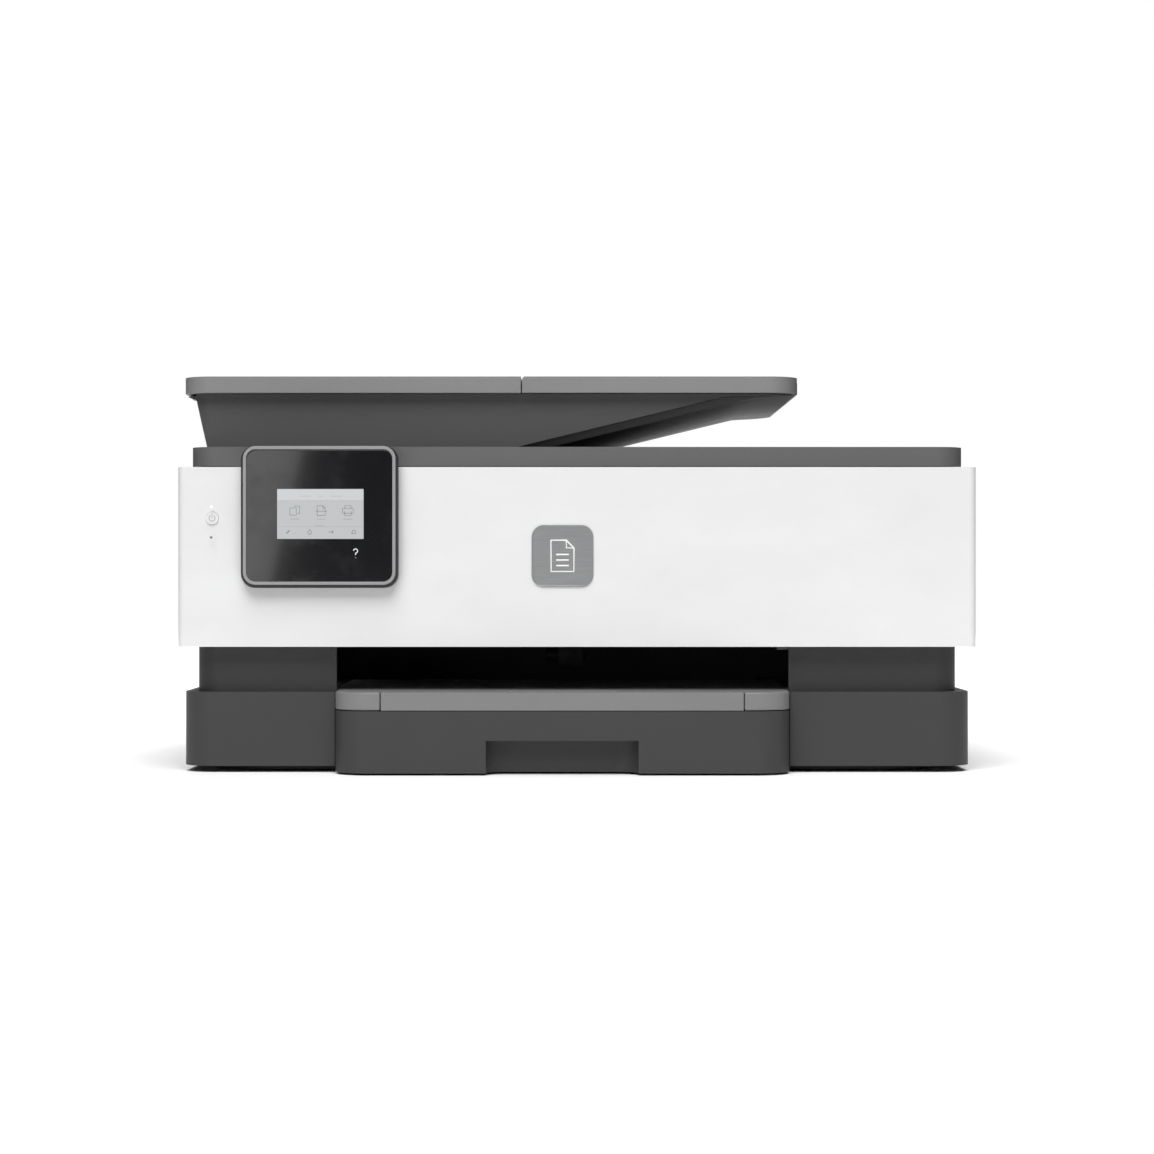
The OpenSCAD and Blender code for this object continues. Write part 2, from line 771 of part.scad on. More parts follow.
// Side guide for the pages in the feeder, with its inner face at y; inward is +1 or -1
module feeder_guide(y, inward) {
  floor_z = plate_z + 2.7;
  color("#7d7e80") {
    block(split_x + 12, split_x + 52, min(y, y - inward * guide_t), max(y, y - inward * guide_t),
          floor_z, feeder_top - 0.4);
    block(split_x + 12, split_x + 34, min(y, y + inward * 12), max(y, y + inward * 12),
          floor_z, floor_z + 1.1);
  }
}

module feeder_guide_front() {
  feeder_guide(feeder_mid - paper_w / 2 - gap, 1);
}

module feeder_guide_rear() {
  feeder_guide(feeder_mid + paper_w / 2 + gap, -1);
}

feeder_mid = (feeder_y0 + feeder_y1) / 2;

// Rubber roller on a shaft along Y, held in the feeder's side walls
module feeder_roller(x, z, r, runs) {
  color("silver")
    bar_y(x, feeder_y0 + 9, feeder_y1 - 9, z, doc_shaft_r);
  color("#3b3b3d")
    for (y = runs)
      bar_y(x, y - 14, y + 14, z, r);
}

module feeder_pick_roller() {
  feeder_roller(pick_x, pick_z, feeder_pick_r, [feeder_mid]);
}

module feeder_exit_roller() {
  feeder_roller(exit_x, exit_z, feeder_roller_r, [feeder_mid - 50, feeder_mid, feeder_mid + 50]);
}

// ---- Paper trays ----

module input_tray() {
  color("#4c4c4e")
    difference() {
      union() {
        slab(mouth_x0, mouth_x1, tray_y, tray_y + 45, foot_h, tray_top, 20);
        block(mouth_x0, mouth_x1, tray_y + 25, tray_end, tray_floor, tray_top - 1);
      }
      block(mouth_x0 - 1, mouth_x1 + 1, front_y + 1, tray_end + 1, -1, tray_floor);
      block(mouth_x0 + tray_wall, mouth_x1 - tray_wall, tray_y + 30, tray_end - tray_wall,
            tray_floor + 2.2, tray_top + 1);
      // finger recess
      slab(grip_x - grip_w / 2, grip_x + grip_w / 2, tray_y - 20, tray_y + 13, -1, grip_h, 12);
      for (x = [paper_x0, paper_x1])
        block(x - 5, x + 5, tray_y + 60, tray_y + 66, tray_floor - 1, tray_floor + 3);
    }
}

grip_x = path_x;
paper_x0 = path_x - paper_w / 2 - 2.4;
paper_x1 = path_x + paper_w / 2 + 2.4;
guide_y = tray_y + 80;

// Side guide for the paper in the input tray; inward is +1 or -1
module paper_guide(x, inward) {
  color("#36373a") {
    block(x - 1, x + 1, guide_y, guide_y + 120, tray_floor + 2.3, tray_top - 2);
    block(min(x, x + inward * 22), max(x, x + inward * 22), guide_y + 50, guide_y + 74,
          tray_floor + 2.3, tray_floor + 4);
  }
}

module paper_guide_left() {
  paper_guide(paper_x0, 1);
}

module paper_guide_right() {
  paper_guide(paper_x1, -1);
}

module length_guide() {
  color("#36373a") {
    block(path_x - 26, path_x + 26, tray_end - 10, tray_end - 8, tray_floor + 2.3, tray_top - 2);
    block(path_x - 14, path_x + 14, tray_end - 30, tray_end - 9, tray_floor + 2.3,
          tray_floor + 4);
  }
}

module output_tray() {
  color("#87888a")
    difference() {
      union() {
        slab(mouth_x0, mouth_x1, tray_y, tray_y + 60, shelf_z0, shelf_top, 20);
        block(mouth_x0, mouth_x1, tray_y + 30, shelf_end, shelf_z0, shelf_top);
        block(mouth_x0 - 5, mouth_x1 + 5, waist_y + 10, shelf_end, shelf_top - 2.5, shelf_top);
      }
      block(path_x - extender_w / 2 - gap, path_x + extender_w / 2 + gap, tray_y - 1,
            tray_y + lip_d + 1, shelf_z0 - 1, shelf_top + 1);
      block(path_x - extender_w / 2 - gap, path_x + extender_w / 2 + gap, tray_y + lip_d,
            shelf_end - 3, shelf_z0 + 2, shelf_top - 2.4);
    }
}

module output_extender() {
  x0 = path_x - extender_w / 2;
  x1 = path_x + extender_w / 2;
  color("#8b8c8e")
    difference() {
      union() {
        block(x0, x1, tray_y, tray_y + lip_d, shelf_z0, shelf_top);
        block(x0, x1, tray_y + lip_d - eps, shelf_end - 10, shelf_z0 + 2.3, shelf_top - 2.9);
      }
      block(path_x - stop_w / 2 - gap, path_x + stop_w / 2 + gap, tray_y + 2, tray_y + lip_d + 1,
            shelf_top - 2.9, shelf_top + 1);
      bar_x(path_x - stop_w / 2 - 4.5, path_x + stop_w / 2 + 4.5, stop_axis_y, stop_axis_z,
            0.7 + run_fit);
    }
}

stop_axis_y = tray_y + 3.6;
stop_axis_z = shelf_top - 1.35;

module extender_stop() {
  color("#7c7d7f") {
    bar_x(path_x - stop_w / 2 - 4, path_x + stop_w / 2 + 4, stop_axis_y, stop_axis_z, 0.7);
    bar_x(path_x - stop_w / 2, path_x + stop_w / 2, stop_axis_y, stop_axis_z, 1.2);
    block(path_x - stop_w / 2, path_x + stop_w / 2, stop_axis_y, stop_axis_y + stop_d,
          stop_axis_z - 1.1, stop_axis_z + 1.1);
  }
}

// ---- Print mechanism ----

module print_frame() {
  color("#a9abad") {
    difference() {
      union() {
        for (x = [frame_x0 - frame_t, frame_x1]) {
          block(x, x + frame_t, frame_y0, frame_y1, frame_z0, frame_z1);
          block(x, x + frame_t, frame_y0, frame_y0 + 52, pan_z, frame_z0 + eps);
        }
        block(frame_x0 - eps, frame_x1 + eps, beam_y, beam_y + frame_t, beam_z, frame_z1);
        block(sled_x0, frame_x1 + eps, frame_y0 + 18, frame_y0 + 70, frame_z0 - 5, frame_z0 - 3.5);
        block(frame_x1 - 1, frame_x1 + eps, frame_y0 + 18, frame_y0 + 70, frame_z0 - 5, frame_z0 + 1);
      }
      frame_bore(feed_y, feed_z, feed_shaft_r + run_fit);
      frame_bore(out_y, feed_z, out_shaft_r + run_fit);
      frame_bore(feed_y, pinch_z, 1.5 + run_fit);
      frame_bore(out_y, star_z, 1.2 + run_fit);
      frame_bore(rod_y, rod_z, rod_r);
      bar_x(frame_x0 - 3, frame_x0 + 1, pinion_y, pinion_z, 3);
      bar_y(belt_x0, beam_y - 1, beam_y + 3, belt_z, 4);
      motor_screw_places()
        cylinder(r = 1.5, h = 12, center = true);
    }
    bar_x(frame_x0 - eps, frame_x1 + eps, pick_shaft_y, pick_shaft_z, pick_shaft_r);
    bar_x(gear_x - 1, frame_x0 - frame_t + eps, idler_y, feed_z, idler_pin_r);
    bar_y(belt_x1, belt_y - 1, beam_y + eps, belt_z, 2);
  }
}

// Holes for a shaft in both side plates
module frame_bore(y, z, r) {
  bar_x(frame_x0 - 5, frame_x0 + 2, y, z, r);
  bar_x(frame_x1 - 2, frame_x1 + 5, y, z, r);
}

// Where the screws of both motors go through the frame, along local Z
module motor_screw_places() {
  for (s = [-1, 1]) {
    translate([belt_x0 + s * 8.5, beam_y + frame_t, belt_z])
      rotate([90, 0, 0])
        children();
    translate([frame_x0, pinion_y + 7, pinion_z + s * 7])
      rotate([0, -90, 0])
        children();
  }
}

module motor_screws() {
  color("silver")
    motor_screw_places()
      screw();
}

// Pan-head screw; its head sits on the frame and its shank is in the motor
module screw() {
  translate([0, 0, -5])
    cylinder(r = 1.5, h = 5 + frame_t + eps);
  difference() {
    translate([0, 0, frame_t])
      cylinder(r = 2.8, h = 1.4);
    translate([-2, -0.35, frame_t + 0.7])
      cube([4, 0.7, 1]);
    translate([-0.35, -2, frame_t + 0.7])
      cube([0.7, 4, 1]);
  }
}

module carriage_rod() {
  color("silver")
    bar_x(frame_x0 - frame_t - 1, frame_x1 + frame_t + 1, rod_y, rod_z, rod_r);
}

module carriage() {
  color("#2c2d2f")
    difference() {
      union() {
        block(carriage_x0, carriage_x1, carriage_y0, carriage_y1, carriage_z,
              carriage_z + carriage_h);
        block(carriage_x0 + 20, carriage_x0 + 34, carriage_y1 - eps, belt_y - 0.6,
              belt_z - pulley_r - 1.2, belt_z - pulley_r + 0.4);
      }
      bar_x(carriage_x0 - 1, carriage_x1 + 1, rod_y, rod_z, rod_r + run_fit);
      block(carriage_x0 + carriage_wall, carriage_x1 - carriage_wall, carriage_y0 + 2,
            cartridge_y1 + cartridge_gap,
            carriage_z + 3, carriage_z + carriage_h + 1);
      block(carriage_x0 - 1, carriage_x1 + 1, rod_y + rod_r + 3, carriage_y1 - 2,
            carriage_z + 3, carriage_z + carriage_h + 1);
    }
}

module printhead() {
  color("#77797c")
    block(sled_x0 + 3, carriage_x1 - 8, carriage_y0 + 8, cartridge_y1 - 2, head_z, carriage_z);
}

// Ink cartridge with a grip at its front; n counts from the left
module cartridge(n, tint) {
  x0 = carriage_x0 + carriage_wall + cartridge_gap + n * cartridge_pitch;
  x1 = x0 + cartridge_pitch - cartridge_gap;
  color("#26272a")
    block(x0, x1, carriage_y0 + 2.4, cartridge_y1, carriage_z + 3, carriage_z + carriage_h - 6);
  color(tint)
    block(x0 + 1.5, x1 - 1.5, carriage_y0 + 2.4, cartridge_y1 - 8,
          carriage_z + carriage_h - 6 - eps, carriage_z + carriage_h - 3);
}

module cartridge_black() {
  cartridge(0, "#101012");
}

module cartridge_cyan() {
  cartridge(1, "#1c9ad6");
}

module cartridge_magenta() {
  cartridge(2, "#c72a6d");
}

module cartridge_yellow() {
  cartridge(3, "#e8c51f");
}

// Outline that a belt makes round both pulleys
module belt_outline(r) {
  translate([belt_x0, belt_z])
    circle(r);
  translate([belt_x1, belt_z])
    circle(r);
  translate([belt_x0, belt_z - r])
    square([belt_x1 - belt_x0, 2 * r]);
}

module carriage_belt() {
  color("#18181a")
    translate([0, belt_y + belt_w, 0])
      rotate([90, 0, 0])
        linear_extrude(belt_w)
          difference() {
            belt_outline(pulley_r + 0.1 + belt_t);
            belt_outline(pulley_r + 0.1);
          }
}

module carriage_motor() {
  color("#8d8f92")
    difference() {
      bar_y(belt_x0, beam_y + frame_t, beam_y + frame_t + 24, belt_z, motor_r);
      bar_y(belt_x0, beam_y, beam_y + 12, belt_z, 1.5 + run_fit);
      motor_screw_places()
        cylinder(r = 1.5, h = 12, center = true);
    }
}

module motor_pulley() {
  color("#b9a24a") {
    bar_y(belt_x0, belt_y - 0.2, belt_y + belt_w + 0.4, belt_z, pulley_r);
    bar_y(belt_x0, belt_y, beam_y + 10, belt_z, 1.5);
  }
}

module idler_pulley() {
  color("#d7d7d2")
    difference() {
      bar_y(belt_x1, belt_y - 0.2, belt_y + belt_w + 0.4, belt_z, pulley_r);
      bar_y(belt_x1, belt_y - 2, belt_y + belt_w + 2, belt_z, 2 + run_fit);
    }
}

module feed_roller() {
  color("silver")
    bar_x(gear_x - 1, frame_x1 + frame_t + 1, feed_y, feed_z, feed_shaft_r);
  color("#3b3b3d")
    bar_x(path_x - paper_w / 2 - 6, path_x + paper_w / 2 + 6, feed_y, feed_z, feed_r);
}

module feed_gear() {
  color("#e6e4da")
    gear_x(gear_x, gear_x + gear_t, feed_y, feed_z, feed_teeth, feed_shaft_r,
           meshed(0, feed_teeth));
}

module idler_gear() {
  color("#e6e4da")
    gear_x(gear_x, gear_x + gear_t, idler_y, feed_z, idler_teeth, idler_pin_r + run_fit, 0);
}

module output_roller() {
  color("#e6e4da")
    gear_x(gear_x, gear_x + gear_t, out_y, feed_z, feed_teeth, out_shaft_r - eps,
           meshed(180, feed_teeth));
  color("silver")
    bar_x(gear_x - 1, frame_x1 + frame_t + 1, out_y, feed_z, out_shaft_r);
  color("#3b3b3d")
    for (i = [-3:3])
      bar_x(path_x + i * 32 - 5, path_x + i * 32 + 5, out_y, feed_z, out_r);
}

module motor_pinion() {
  color("#b9a24a") {
    gear_x(gear_x, gear_x + gear_t, pinion_y, pinion_z, pinion_teeth, 1.5 - eps,
           meshed(pinion_side, pinion_teeth));
    bar_x(gear_x, frame_x0 + 10, pinion_y, pinion_z, 1.5);
  }
}

module feed_motor() {
  color("#8d8f92")
    difference() {
      bar_x(frame_x0, frame_x0 + 28, pinion_y, pinion_z, motor_r);
      bar_x(frame_x0 - 1, frame_x0 + 12, pinion_y, pinion_z, 1.5 + run_fit);
      motor_screw_places()
        cylinder(r = 1.5, h = 12, center = true);
    }
}

module pinch_rollers() {
  color("silver")
    bar_x(frame_x0 - frame_t, frame_x1 + frame_t, feed_y, pinch_z, 1.5);
  color("#d7d7d2")
    for (i = [-3:3])
      bar_x(path_x + i * 32 - 9, path_x + i * 32 + 9, feed_y, pinch_z, pinch_r);
}

module star_wheels() {
  color("silver") {
    bar_x(frame_x0 - frame_t, frame_x1 + frame_t, out_y, star_z, 1.2);
    for (i = [-3:3])
      bar_x(path_x + i * 32 - 0.6, path_x + i * 32 + 0.6, out_y, star_z, star_r);
  }
}

module platen() {
  color("#242527")
    difference() {
      union() {
        block(frame_x0, sled_x0 - 12, path_y(-24), path_y(37), feed_z - 6, feed_z + 1);
        block(sled_x0 - 13, frame_x1, path_y(26), path_y(37), feed_z - 6, feed_z);
        for (i = [-6:6])
          block(path_x + i * 17 - 1, path_x + i * 17 + 1, path_y(-22), path_y(35),
                feed_z + 1 - eps, feed_z + 3.6);
      }
      block(frame_x0 + 4, sled_x0 - 16, path_y(-21), path_y(23), feed_z - 7, feed_z - 1);
    }
}

module capping_sled() {
  color("#3a3b3e")
    difference() {
      block(sled_x0 + 2, carriage_x1 - 7, carriage_y0 + 7, cartridge_y1 - 1, head_z - 12,
            head_z - 0.4);
      block(sled_x0 + 6, carriage_x1 - 11, carriage_y0 + 11, cartridge_y1 - 5, head_z - 4,
            head_z);
    }
}

module pick_arm() {
  lean = atan2(pick_arm_z - pick_shaft_z, pick_arm_y - pick_shaft_y);
  reach = norm([pick_arm_y - pick_shaft_y, pick_arm_z - pick_shaft_z]);
  color("#3a3b3e")
    difference() {
      union() {
        bar_x(path_x - 12, path_x + 12, pick_shaft_y, pick_shaft_z, 6);
        translate([path_x - 12, pick_shaft_y, pick_shaft_z])
          rotate([lean, 0, 0])
            translate([0, 0, -4])
              cube([8, reach, 8]);
        bar_x(path_x - 12, path_x - 4, pick_arm_y, pick_arm_z, 4);
        bar_x(path_x - 5, path_x + 14, pick_arm_y, pick_arm_z, 2);
      }
      bar_x(path_x - 13, path_x + 13, pick_shaft_y, pick_shaft_z, pick_shaft_r + run_fit);
    }
}

module pick_roller() {
  color("#4a4a4c")
    difference() {
      bar_x(path_x - 3.6, path_x + 12, pick_arm_y, pick_arm_z, pick_roller_r);
      bar_x(path_x - 5, path_x + 13, pick_arm_y, pick_arm_z, 2 + run_fit);
    }
}

base_pan();
rubber_feet();
base_shell();
upper_shell();
scanner_glass();
scan_rod();
scan_bar();
front_door();
badge();
power_button();
panel_housing();
panel_glass();
display_screen();
scanner_lid();
lid_pad();
lid_hinges();
feeder_body();
feeder_cover();
feeder_tray();
feeder_guide_front();
feeder_guide_rear();
feeder_pick_roller();
feeder_exit_roller();
input_tray();
paper_guide_left();
paper_guide_right();
length_guide();
output_tray();
output_extender();
extender_stop();
print_frame();
carriage_rod();
carriage();
printhead();
cartridge_black();
cartridge_cyan();
cartridge_magenta();
cartridge_yellow();
carriage_belt();
carriage_motor();
motor_pulley();
idler_pulley();
feed_roller();
feed_gear();
feed_motor();
motor_pinion();
idler_gear();
output_roller();
pinch_rollers();
star_wheels();
platen();
pick_arm();
pick_roller();
capping_sled();
waste_ink_tray();
main_board();
power_supply();
power_inlet();
rear_door();
motor_screws();
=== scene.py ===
"""Inkjet printer with a document feeder: the looks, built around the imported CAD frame.

Run as a script. Each piece or group of like pieces has its own operator. The frame's own axes
are kept: +Z up, the front faces -Y. Lengths are in metres; slab, frame_ring, stroke, arc and
span work in millimetres.
"""

import json
import math

import bpy
from bpy.props import FloatProperty, FloatVectorProperty, IntProperty, PointerProperty
from mathutils import Matrix, Vector


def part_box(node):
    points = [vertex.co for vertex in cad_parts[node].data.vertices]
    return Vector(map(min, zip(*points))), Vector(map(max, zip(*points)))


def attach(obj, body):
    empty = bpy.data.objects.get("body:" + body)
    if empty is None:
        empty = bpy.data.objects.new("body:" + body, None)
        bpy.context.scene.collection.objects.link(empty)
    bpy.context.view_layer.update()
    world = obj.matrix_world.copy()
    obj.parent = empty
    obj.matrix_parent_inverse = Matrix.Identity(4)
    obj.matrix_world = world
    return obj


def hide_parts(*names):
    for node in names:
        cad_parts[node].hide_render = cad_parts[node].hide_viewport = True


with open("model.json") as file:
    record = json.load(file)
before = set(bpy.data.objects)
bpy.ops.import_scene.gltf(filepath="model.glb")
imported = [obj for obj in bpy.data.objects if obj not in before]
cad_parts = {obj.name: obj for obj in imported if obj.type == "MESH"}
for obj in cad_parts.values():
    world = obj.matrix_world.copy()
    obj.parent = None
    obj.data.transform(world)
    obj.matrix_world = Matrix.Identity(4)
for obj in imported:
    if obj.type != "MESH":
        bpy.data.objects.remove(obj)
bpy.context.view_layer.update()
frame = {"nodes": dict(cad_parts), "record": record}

bl_info = {
    "name": "Inkjet Printer",
    "version": (1, 0, 0),
    "blender": (4, 5, 0),
    "location": "View3D > Sidebar > Printer",
    "description": "Builds the shells, panel, trays and mechanism of an inkjet printer",
    "category": "Add Mesh",
}

MM = 0.001
HAIR = 0.02 * MM
X, Y = Vector((1, 0, 0)), Vector((0, 1, 0))


# ---- Sizes and colours ----

def tint(name, default, description):
    """A colour property."""
    return FloatVectorProperty(name=name, default=default, description=description,
                               subtype="COLOR", size=3, min=0, max=1)


class PrinterSizes(bpy.types.PropertyGroup):
    """Roundings of the mouldings"""
    rounding: FloatProperty(name="Rounding", default=1.0, min=0.1, max=1.2,
                            description="Scale of the mouldings' edge roundings")
    steps: IntProperty(name="Rounding steps", default=2, min=1, max=6,
                       description="Segments across each rounded edge")


class PrinterColours(bpy.types.PropertyGroup):
    """Colours of the finishes"""
    white: tint("White shell", (0.72, 0.72, 0.724), "The white mouldings")
    base: tint("Dark base", (0.040, 0.0388, 0.0392), "The base and the paper tray")
    lid: tint("Lid", (0.114, 0.113, 0.115), "The scanner lid")
    feeder: tint("Feeder", (0.075, 0.074, 0.076), "The feeder's body")
    plate: tint("Feeder plates", (0.228, 0.226, 0.228), "The feeder's cover and tray")
    tray: tint("Output tray", (0.19, 0.188, 0.19), "The output tray and its extender")
    black: tint("Black mouldings", (0.012, 0.012, 0.013), "The inner mouldings")
    rim: tint("Panel ring", (0.28, 0.278, 0.283), "The ring round the control panel")
    screen: tint("Display", (0.62, 0.635, 0.65), "The lit display")
    badge: tint("Badge", (0.42, 0.425, 0.43), "The square badge")


class PrinterStage(bpy.types.PropertyGroup):
    """Camera and light"""
    camera_y: FloatProperty(name="Camera Y", default=-1.6445, unit="LENGTH",
                            description="Place of the camera in front of the printer")
    camera_z: FloatProperty(name="Camera height", default=0.1124, unit="LENGTH",
                            description="Height of the camera over the floor")
    lens: FloatProperty(name="Lens", default=81.3, min=20,
                        description="Focal length on a 36 mm sensor, in millimetres")
    key: FloatProperty(name="Key", default=3.15, min=0, description="Strength of the key light")
    back: FloatProperty(name="Back light", default=40, min=0, description="In watts")
    top: FloatProperty(name="Top light", default=8, min=0, description="In watts")
    card: FloatProperty(name="Card", default=3.4, min=0,
                        description="Power of the card that the panel's glass reflects")
    sky: FloatProperty(name="Sky", default=0.25, min=0,
                       description="Strength of the surrounding light")
    sheen: FloatProperty(name="Sheen", default=0.06, min=0,
                         description="Strength of the surroundings in reflections")


def sizes():
    return bpy.context.scene.printer_sizes


def colours():
    return bpy.context.scene.printer_colours


# ---- Shader maths ----

class Wire:
    """A shader socket; Python's operators add the Math nodes that they stand for."""

    def __init__(self, tree, socket):
        self.tree = tree
        self.socket = socket

    def _math(self, operation, first, second=None):
        node = self.tree.nodes.new("ShaderNodeMath")
        node.operation = operation
        for slot, value in zip(node.inputs, (first, second)):
            if isinstance(value, Wire):
                self.tree.links.new(value.socket, slot)
            elif value is not None:
                slot.default_value = value
        return Wire(self.tree, node.outputs[0])

    def __add__(self, other):
        return self._math("ADD", self, other)

    def __radd__(self, other):
        return self._math("ADD", other, self)

    def __sub__(self, other):
        return self._math("SUBTRACT", self, other)

    def __rsub__(self, other):
        return self._math("SUBTRACT", other, self)

    def __mul__(self, other):
        return self._math("MULTIPLY", self, other)

    def __rmul__(self, other):
        return self._math("MULTIPLY", other, self)

    def __truediv__(self, other):
        return self._math("DIVIDE", self, other)

    def __mod__(self, other):
        return self._math("FLOORED_MODULO", self, other)

    def __abs__(self):
        return self._math("ABSOLUTE", self)


class Finish:
    """One node material, built round a Principled shader."""

    def __init__(self, name):
        self.material = bpy.data.materials.new(name)
        self.material.use_nodes = True
        self.tree = self.material.node_tree
        self.shader = self.tree.nodes["Principled BSDF"]
        self.place = self.node("ShaderNodeTexCoord", output="Object")

    def node(self, kind, inputs=None, output=0):
        """Adds a node and sets the values or wires of its sockets."""
        node = self.tree.nodes.new(kind)
        for key, value in (inputs or {}).items():
            self.feed(node.inputs[key], value)
        return Wire(self.tree, node.outputs[output])

    def feed(self, socket, value):
        """Links a wire to a socket, or sets its own value."""
        if isinstance(value, Wire):
            self.tree.links.new(value.socket, socket)
        elif socket.type == "RGBA" and len(value) == 3:
            socket.default_value = (*value, 1)
        else:
            socket.default_value = value

    def set(self, **values):
        """Sets the Principled shader's sockets; an underscore stands for a space."""
        for key, value in values.items():
            self.feed(self.shader.inputs[key.replace("_", " ")], value)

    def noise(self, scale, detail=2.0, roughness=0.5, stretch=(1, 1, 1)):
        """Smooth noise from 0 to 1; scale is in features to a metre."""
        place = self.place
        if stretch != (1, 1, 1):
            place = self.node("ShaderNodeMapping", inputs={"Vector": place, "Scale": stretch})
        return self.node("ShaderNodeTexNoise",
                         inputs={"Vector": place, "Scale": scale, "Detail": detail,
                                 "Roughness": roughness})

    def cells(self, scale, output="Distance"):
        """Round cells; scale is in cells to a metre."""
        return self.node("ShaderNodeTexVoronoi", inputs={"Vector": self.place, "Scale": scale},
                         output=output)

    def axis(self, name):
        """One coordinate of the surface, in metres."""
        return self.node("ShaderNodeSeparateXYZ", inputs={"Vector": self.place}, output=name)

    def between(self, value, low, high):
        """The value's place between low and high, held from 0 to 1."""
        return self.node("ShaderNodeMapRange",
                         inputs={"Value": value, "From Min": low, "From Max": high})

    def blend(self, factor, first, second):
        """A colour between two others."""
        node = self.tree.nodes.new("ShaderNodeMix")
        node.data_type = "RGBA"
        self.feed(node.inputs["Factor"], factor)
        self.feed(node.inputs[6], first)
        self.feed(node.inputs[7], second)
        return Wire(self.tree, node.outputs[2])

    def bump(self, height, strength, distance):
        """Raises the surface where height is 1."""
        self.set(Normal=self.node("ShaderNodeBump", inputs={
            "Height": height, "Strength": strength, "Distance": distance}))


def shade(colour, factor):
    return tuple(min(1.0, c * factor) for c in colour)


def moulded(name, colour, roughness=0.5, grain=0.25, specular=0.4):
    """Moulded plastic: spark-eroded grain, slight flow marks and a little handling wear."""
    f = Finish(name)
    grit = f.noise(4200, 2, 0.6)
    flow = f.noise(14, 3, 0.55, (1, 1, 2.2))
    touch = f.between(f.noise(38, 4, 0.6), 0.52, 0.72)
    colour = tuple(colour)
    tone = f.blend(f.between(flow, 0.3, 0.7), shade(colour, 0.965), shade(colour, 1.03))
    tone = f.blend(f.between(grit, 0.35, 0.75) * 0.5, tone, shade(colour, 1.06))
    f.set(Base_Color=tone,
          Roughness=roughness + (grit - 0.5) * 0.16 - touch * 0.05,
          Specular_IOR_Level=specular)
    f.bump(grit, grain, 0.05 * MM)
    return f.material


def satin_metal(name, colour, roughness=0.3, along="X", metallic=1.0):
    """Rolled or turned metal, brushed along one axis."""
    f = Finish(name)
    stretch = {"X": (1, 60, 60), "Y": (60, 1, 60), "Z": (60, 60, 1)}[along]
    lines = f.noise(60, 3, 0.7, stretch)
    stain = f.noise(30, 4, 0.6)
    colour = tuple(colour)
    tone = f.blend(f.between(lines, 0.3, 0.7), shade(colour, 0.86), shade(colour, 1.1))
    tone = f.blend(f.between(stain, 0.5, 0.8) * 0.4, tone, shade(colour, 0.8))
    f.set(Base_Color=tone, Metallic=metallic,
          Roughness=roughness + (lines - 0.5) * 0.18 + (stain - 0.5) * 0.1)
    f.bump(lines, 0.12, 0.02 * MM)
    return f.material


def zinc(name):
    """Zinc-plated sheet with a faint spangle."""
    f = Finish(name)
    flake = f.cells(140, "Color")
    value = f.node("ShaderNodeSeparateColor", inputs={"Color": flake}, output="Red")
    tone = f.blend(value, (0.46, 0.47, 0.49), (0.62, 0.63, 0.65))
    f.set(Base_Color=tone, Metallic=1.0, Roughness=0.30 + value * 0.14)
    f.bump(f.noise(900, 2), 0.08, 0.02 * MM)
    return f.material


def rubber(name, colour=(0.02, 0.02, 0.02), grooves=0.0, along="X"):
    """Matt rubber, with ground grooves round a roller where asked."""
    f = Finish(name)
    dust = f.noise(220, 4, 0.6)
    pores = f.cells(2600)
    height = pores * 0.5
    if grooves:
        height = height + f.between(abs((f.axis(along) % grooves) / grooves - 0.5), 0.15, 0.35)
    tone = f.blend(f.between(dust, 0.45, 0.8) * 0.5, colour, shade(colour, 2.1))
    f.set(Base_Color=tone, Roughness=0.72 + dust * 0.14, Specular_IOR_Level=0.3)
    f.bump(height, 0.35, 0.06 * MM)
    return f.material


def piano_black(name):
    """Polished black cover of the panel, with faint finger marks."""
    f = Finish(name)
    smear = f.between(f.noise(46, 4, 0.65), 0.5, 0.75)
    fine = f.noise(900, 2)
    f.set(Base_Color=f.blend(smear * 0.3, (0.0065, 0.0068, 0.0078), (0.012, 0.012, 0.013)),
          Roughness=0.07 + smear * 0.09 + fine * 0.02,
          Coat_Weight=0.6 - smear * 0.15, Coat_Roughness=0.04, Specular_IOR_Level=0.5)
    return f.material


def lit(name, colour, strength):
    """Part of the lit display or a lamp: an even light with a fine pixel grid."""
    f = Finish(name)
    pitch = 0.16 * MM
    rows = f.between(abs((f.axis("Z") % pitch) / pitch - 0.5), 0.36, 0.5)
    columns = f.between(abs((f.axis("X") % pitch) / pitch - 0.5), 0.36, 0.5)
    grid = 1 - (rows + columns) * 0.12
    dim = f.node("ShaderNodeHueSaturation", inputs={"Color": tuple(colour), "Value": grid})
    f.set(Base_Color=shade(colour, 0.3), Roughness=0.22 + rows * 0.05,
          Emission_Color=dim, Emission_Strength=strength)
    return f.material


def clear_glass(name):
    """Scanner glass: a clear pane with a slight green edge and a trace of dust."""
    f = Finish(name)
    dust = f.between(f.noise(420, 5, 0.7), 0.62, 0.8)
    f.set(Base_Color=f.blend(dust * 0.5, (0.80, 0.88, 0.86), (0.9, 0.9, 0.88)),
          Roughness=0.03 + dust * 0.2, Transmission_Weight=0.92, IOR=1.5,
          Alpha=0.55 + dust * 0.2)
    return f.material


def foam(name):
    """White foam sheet under the lid."""
    f = Finish(name)
    cells = f.cells(1500)
    soil = f.noise(18, 4, 0.6)
    tone = f.blend(f.between(soil, 0.4, 0.8) * 0.5, (0.86, 0.86, 0.85), (0.78, 0.775, 0.75))
    f.set(Base_Color=tone,
          Roughness=0.82 + cells * 0.1, Specular_IOR_Level=0.25)
    f.bump(cells, 0.4, 0.08 * MM)
    return f.material


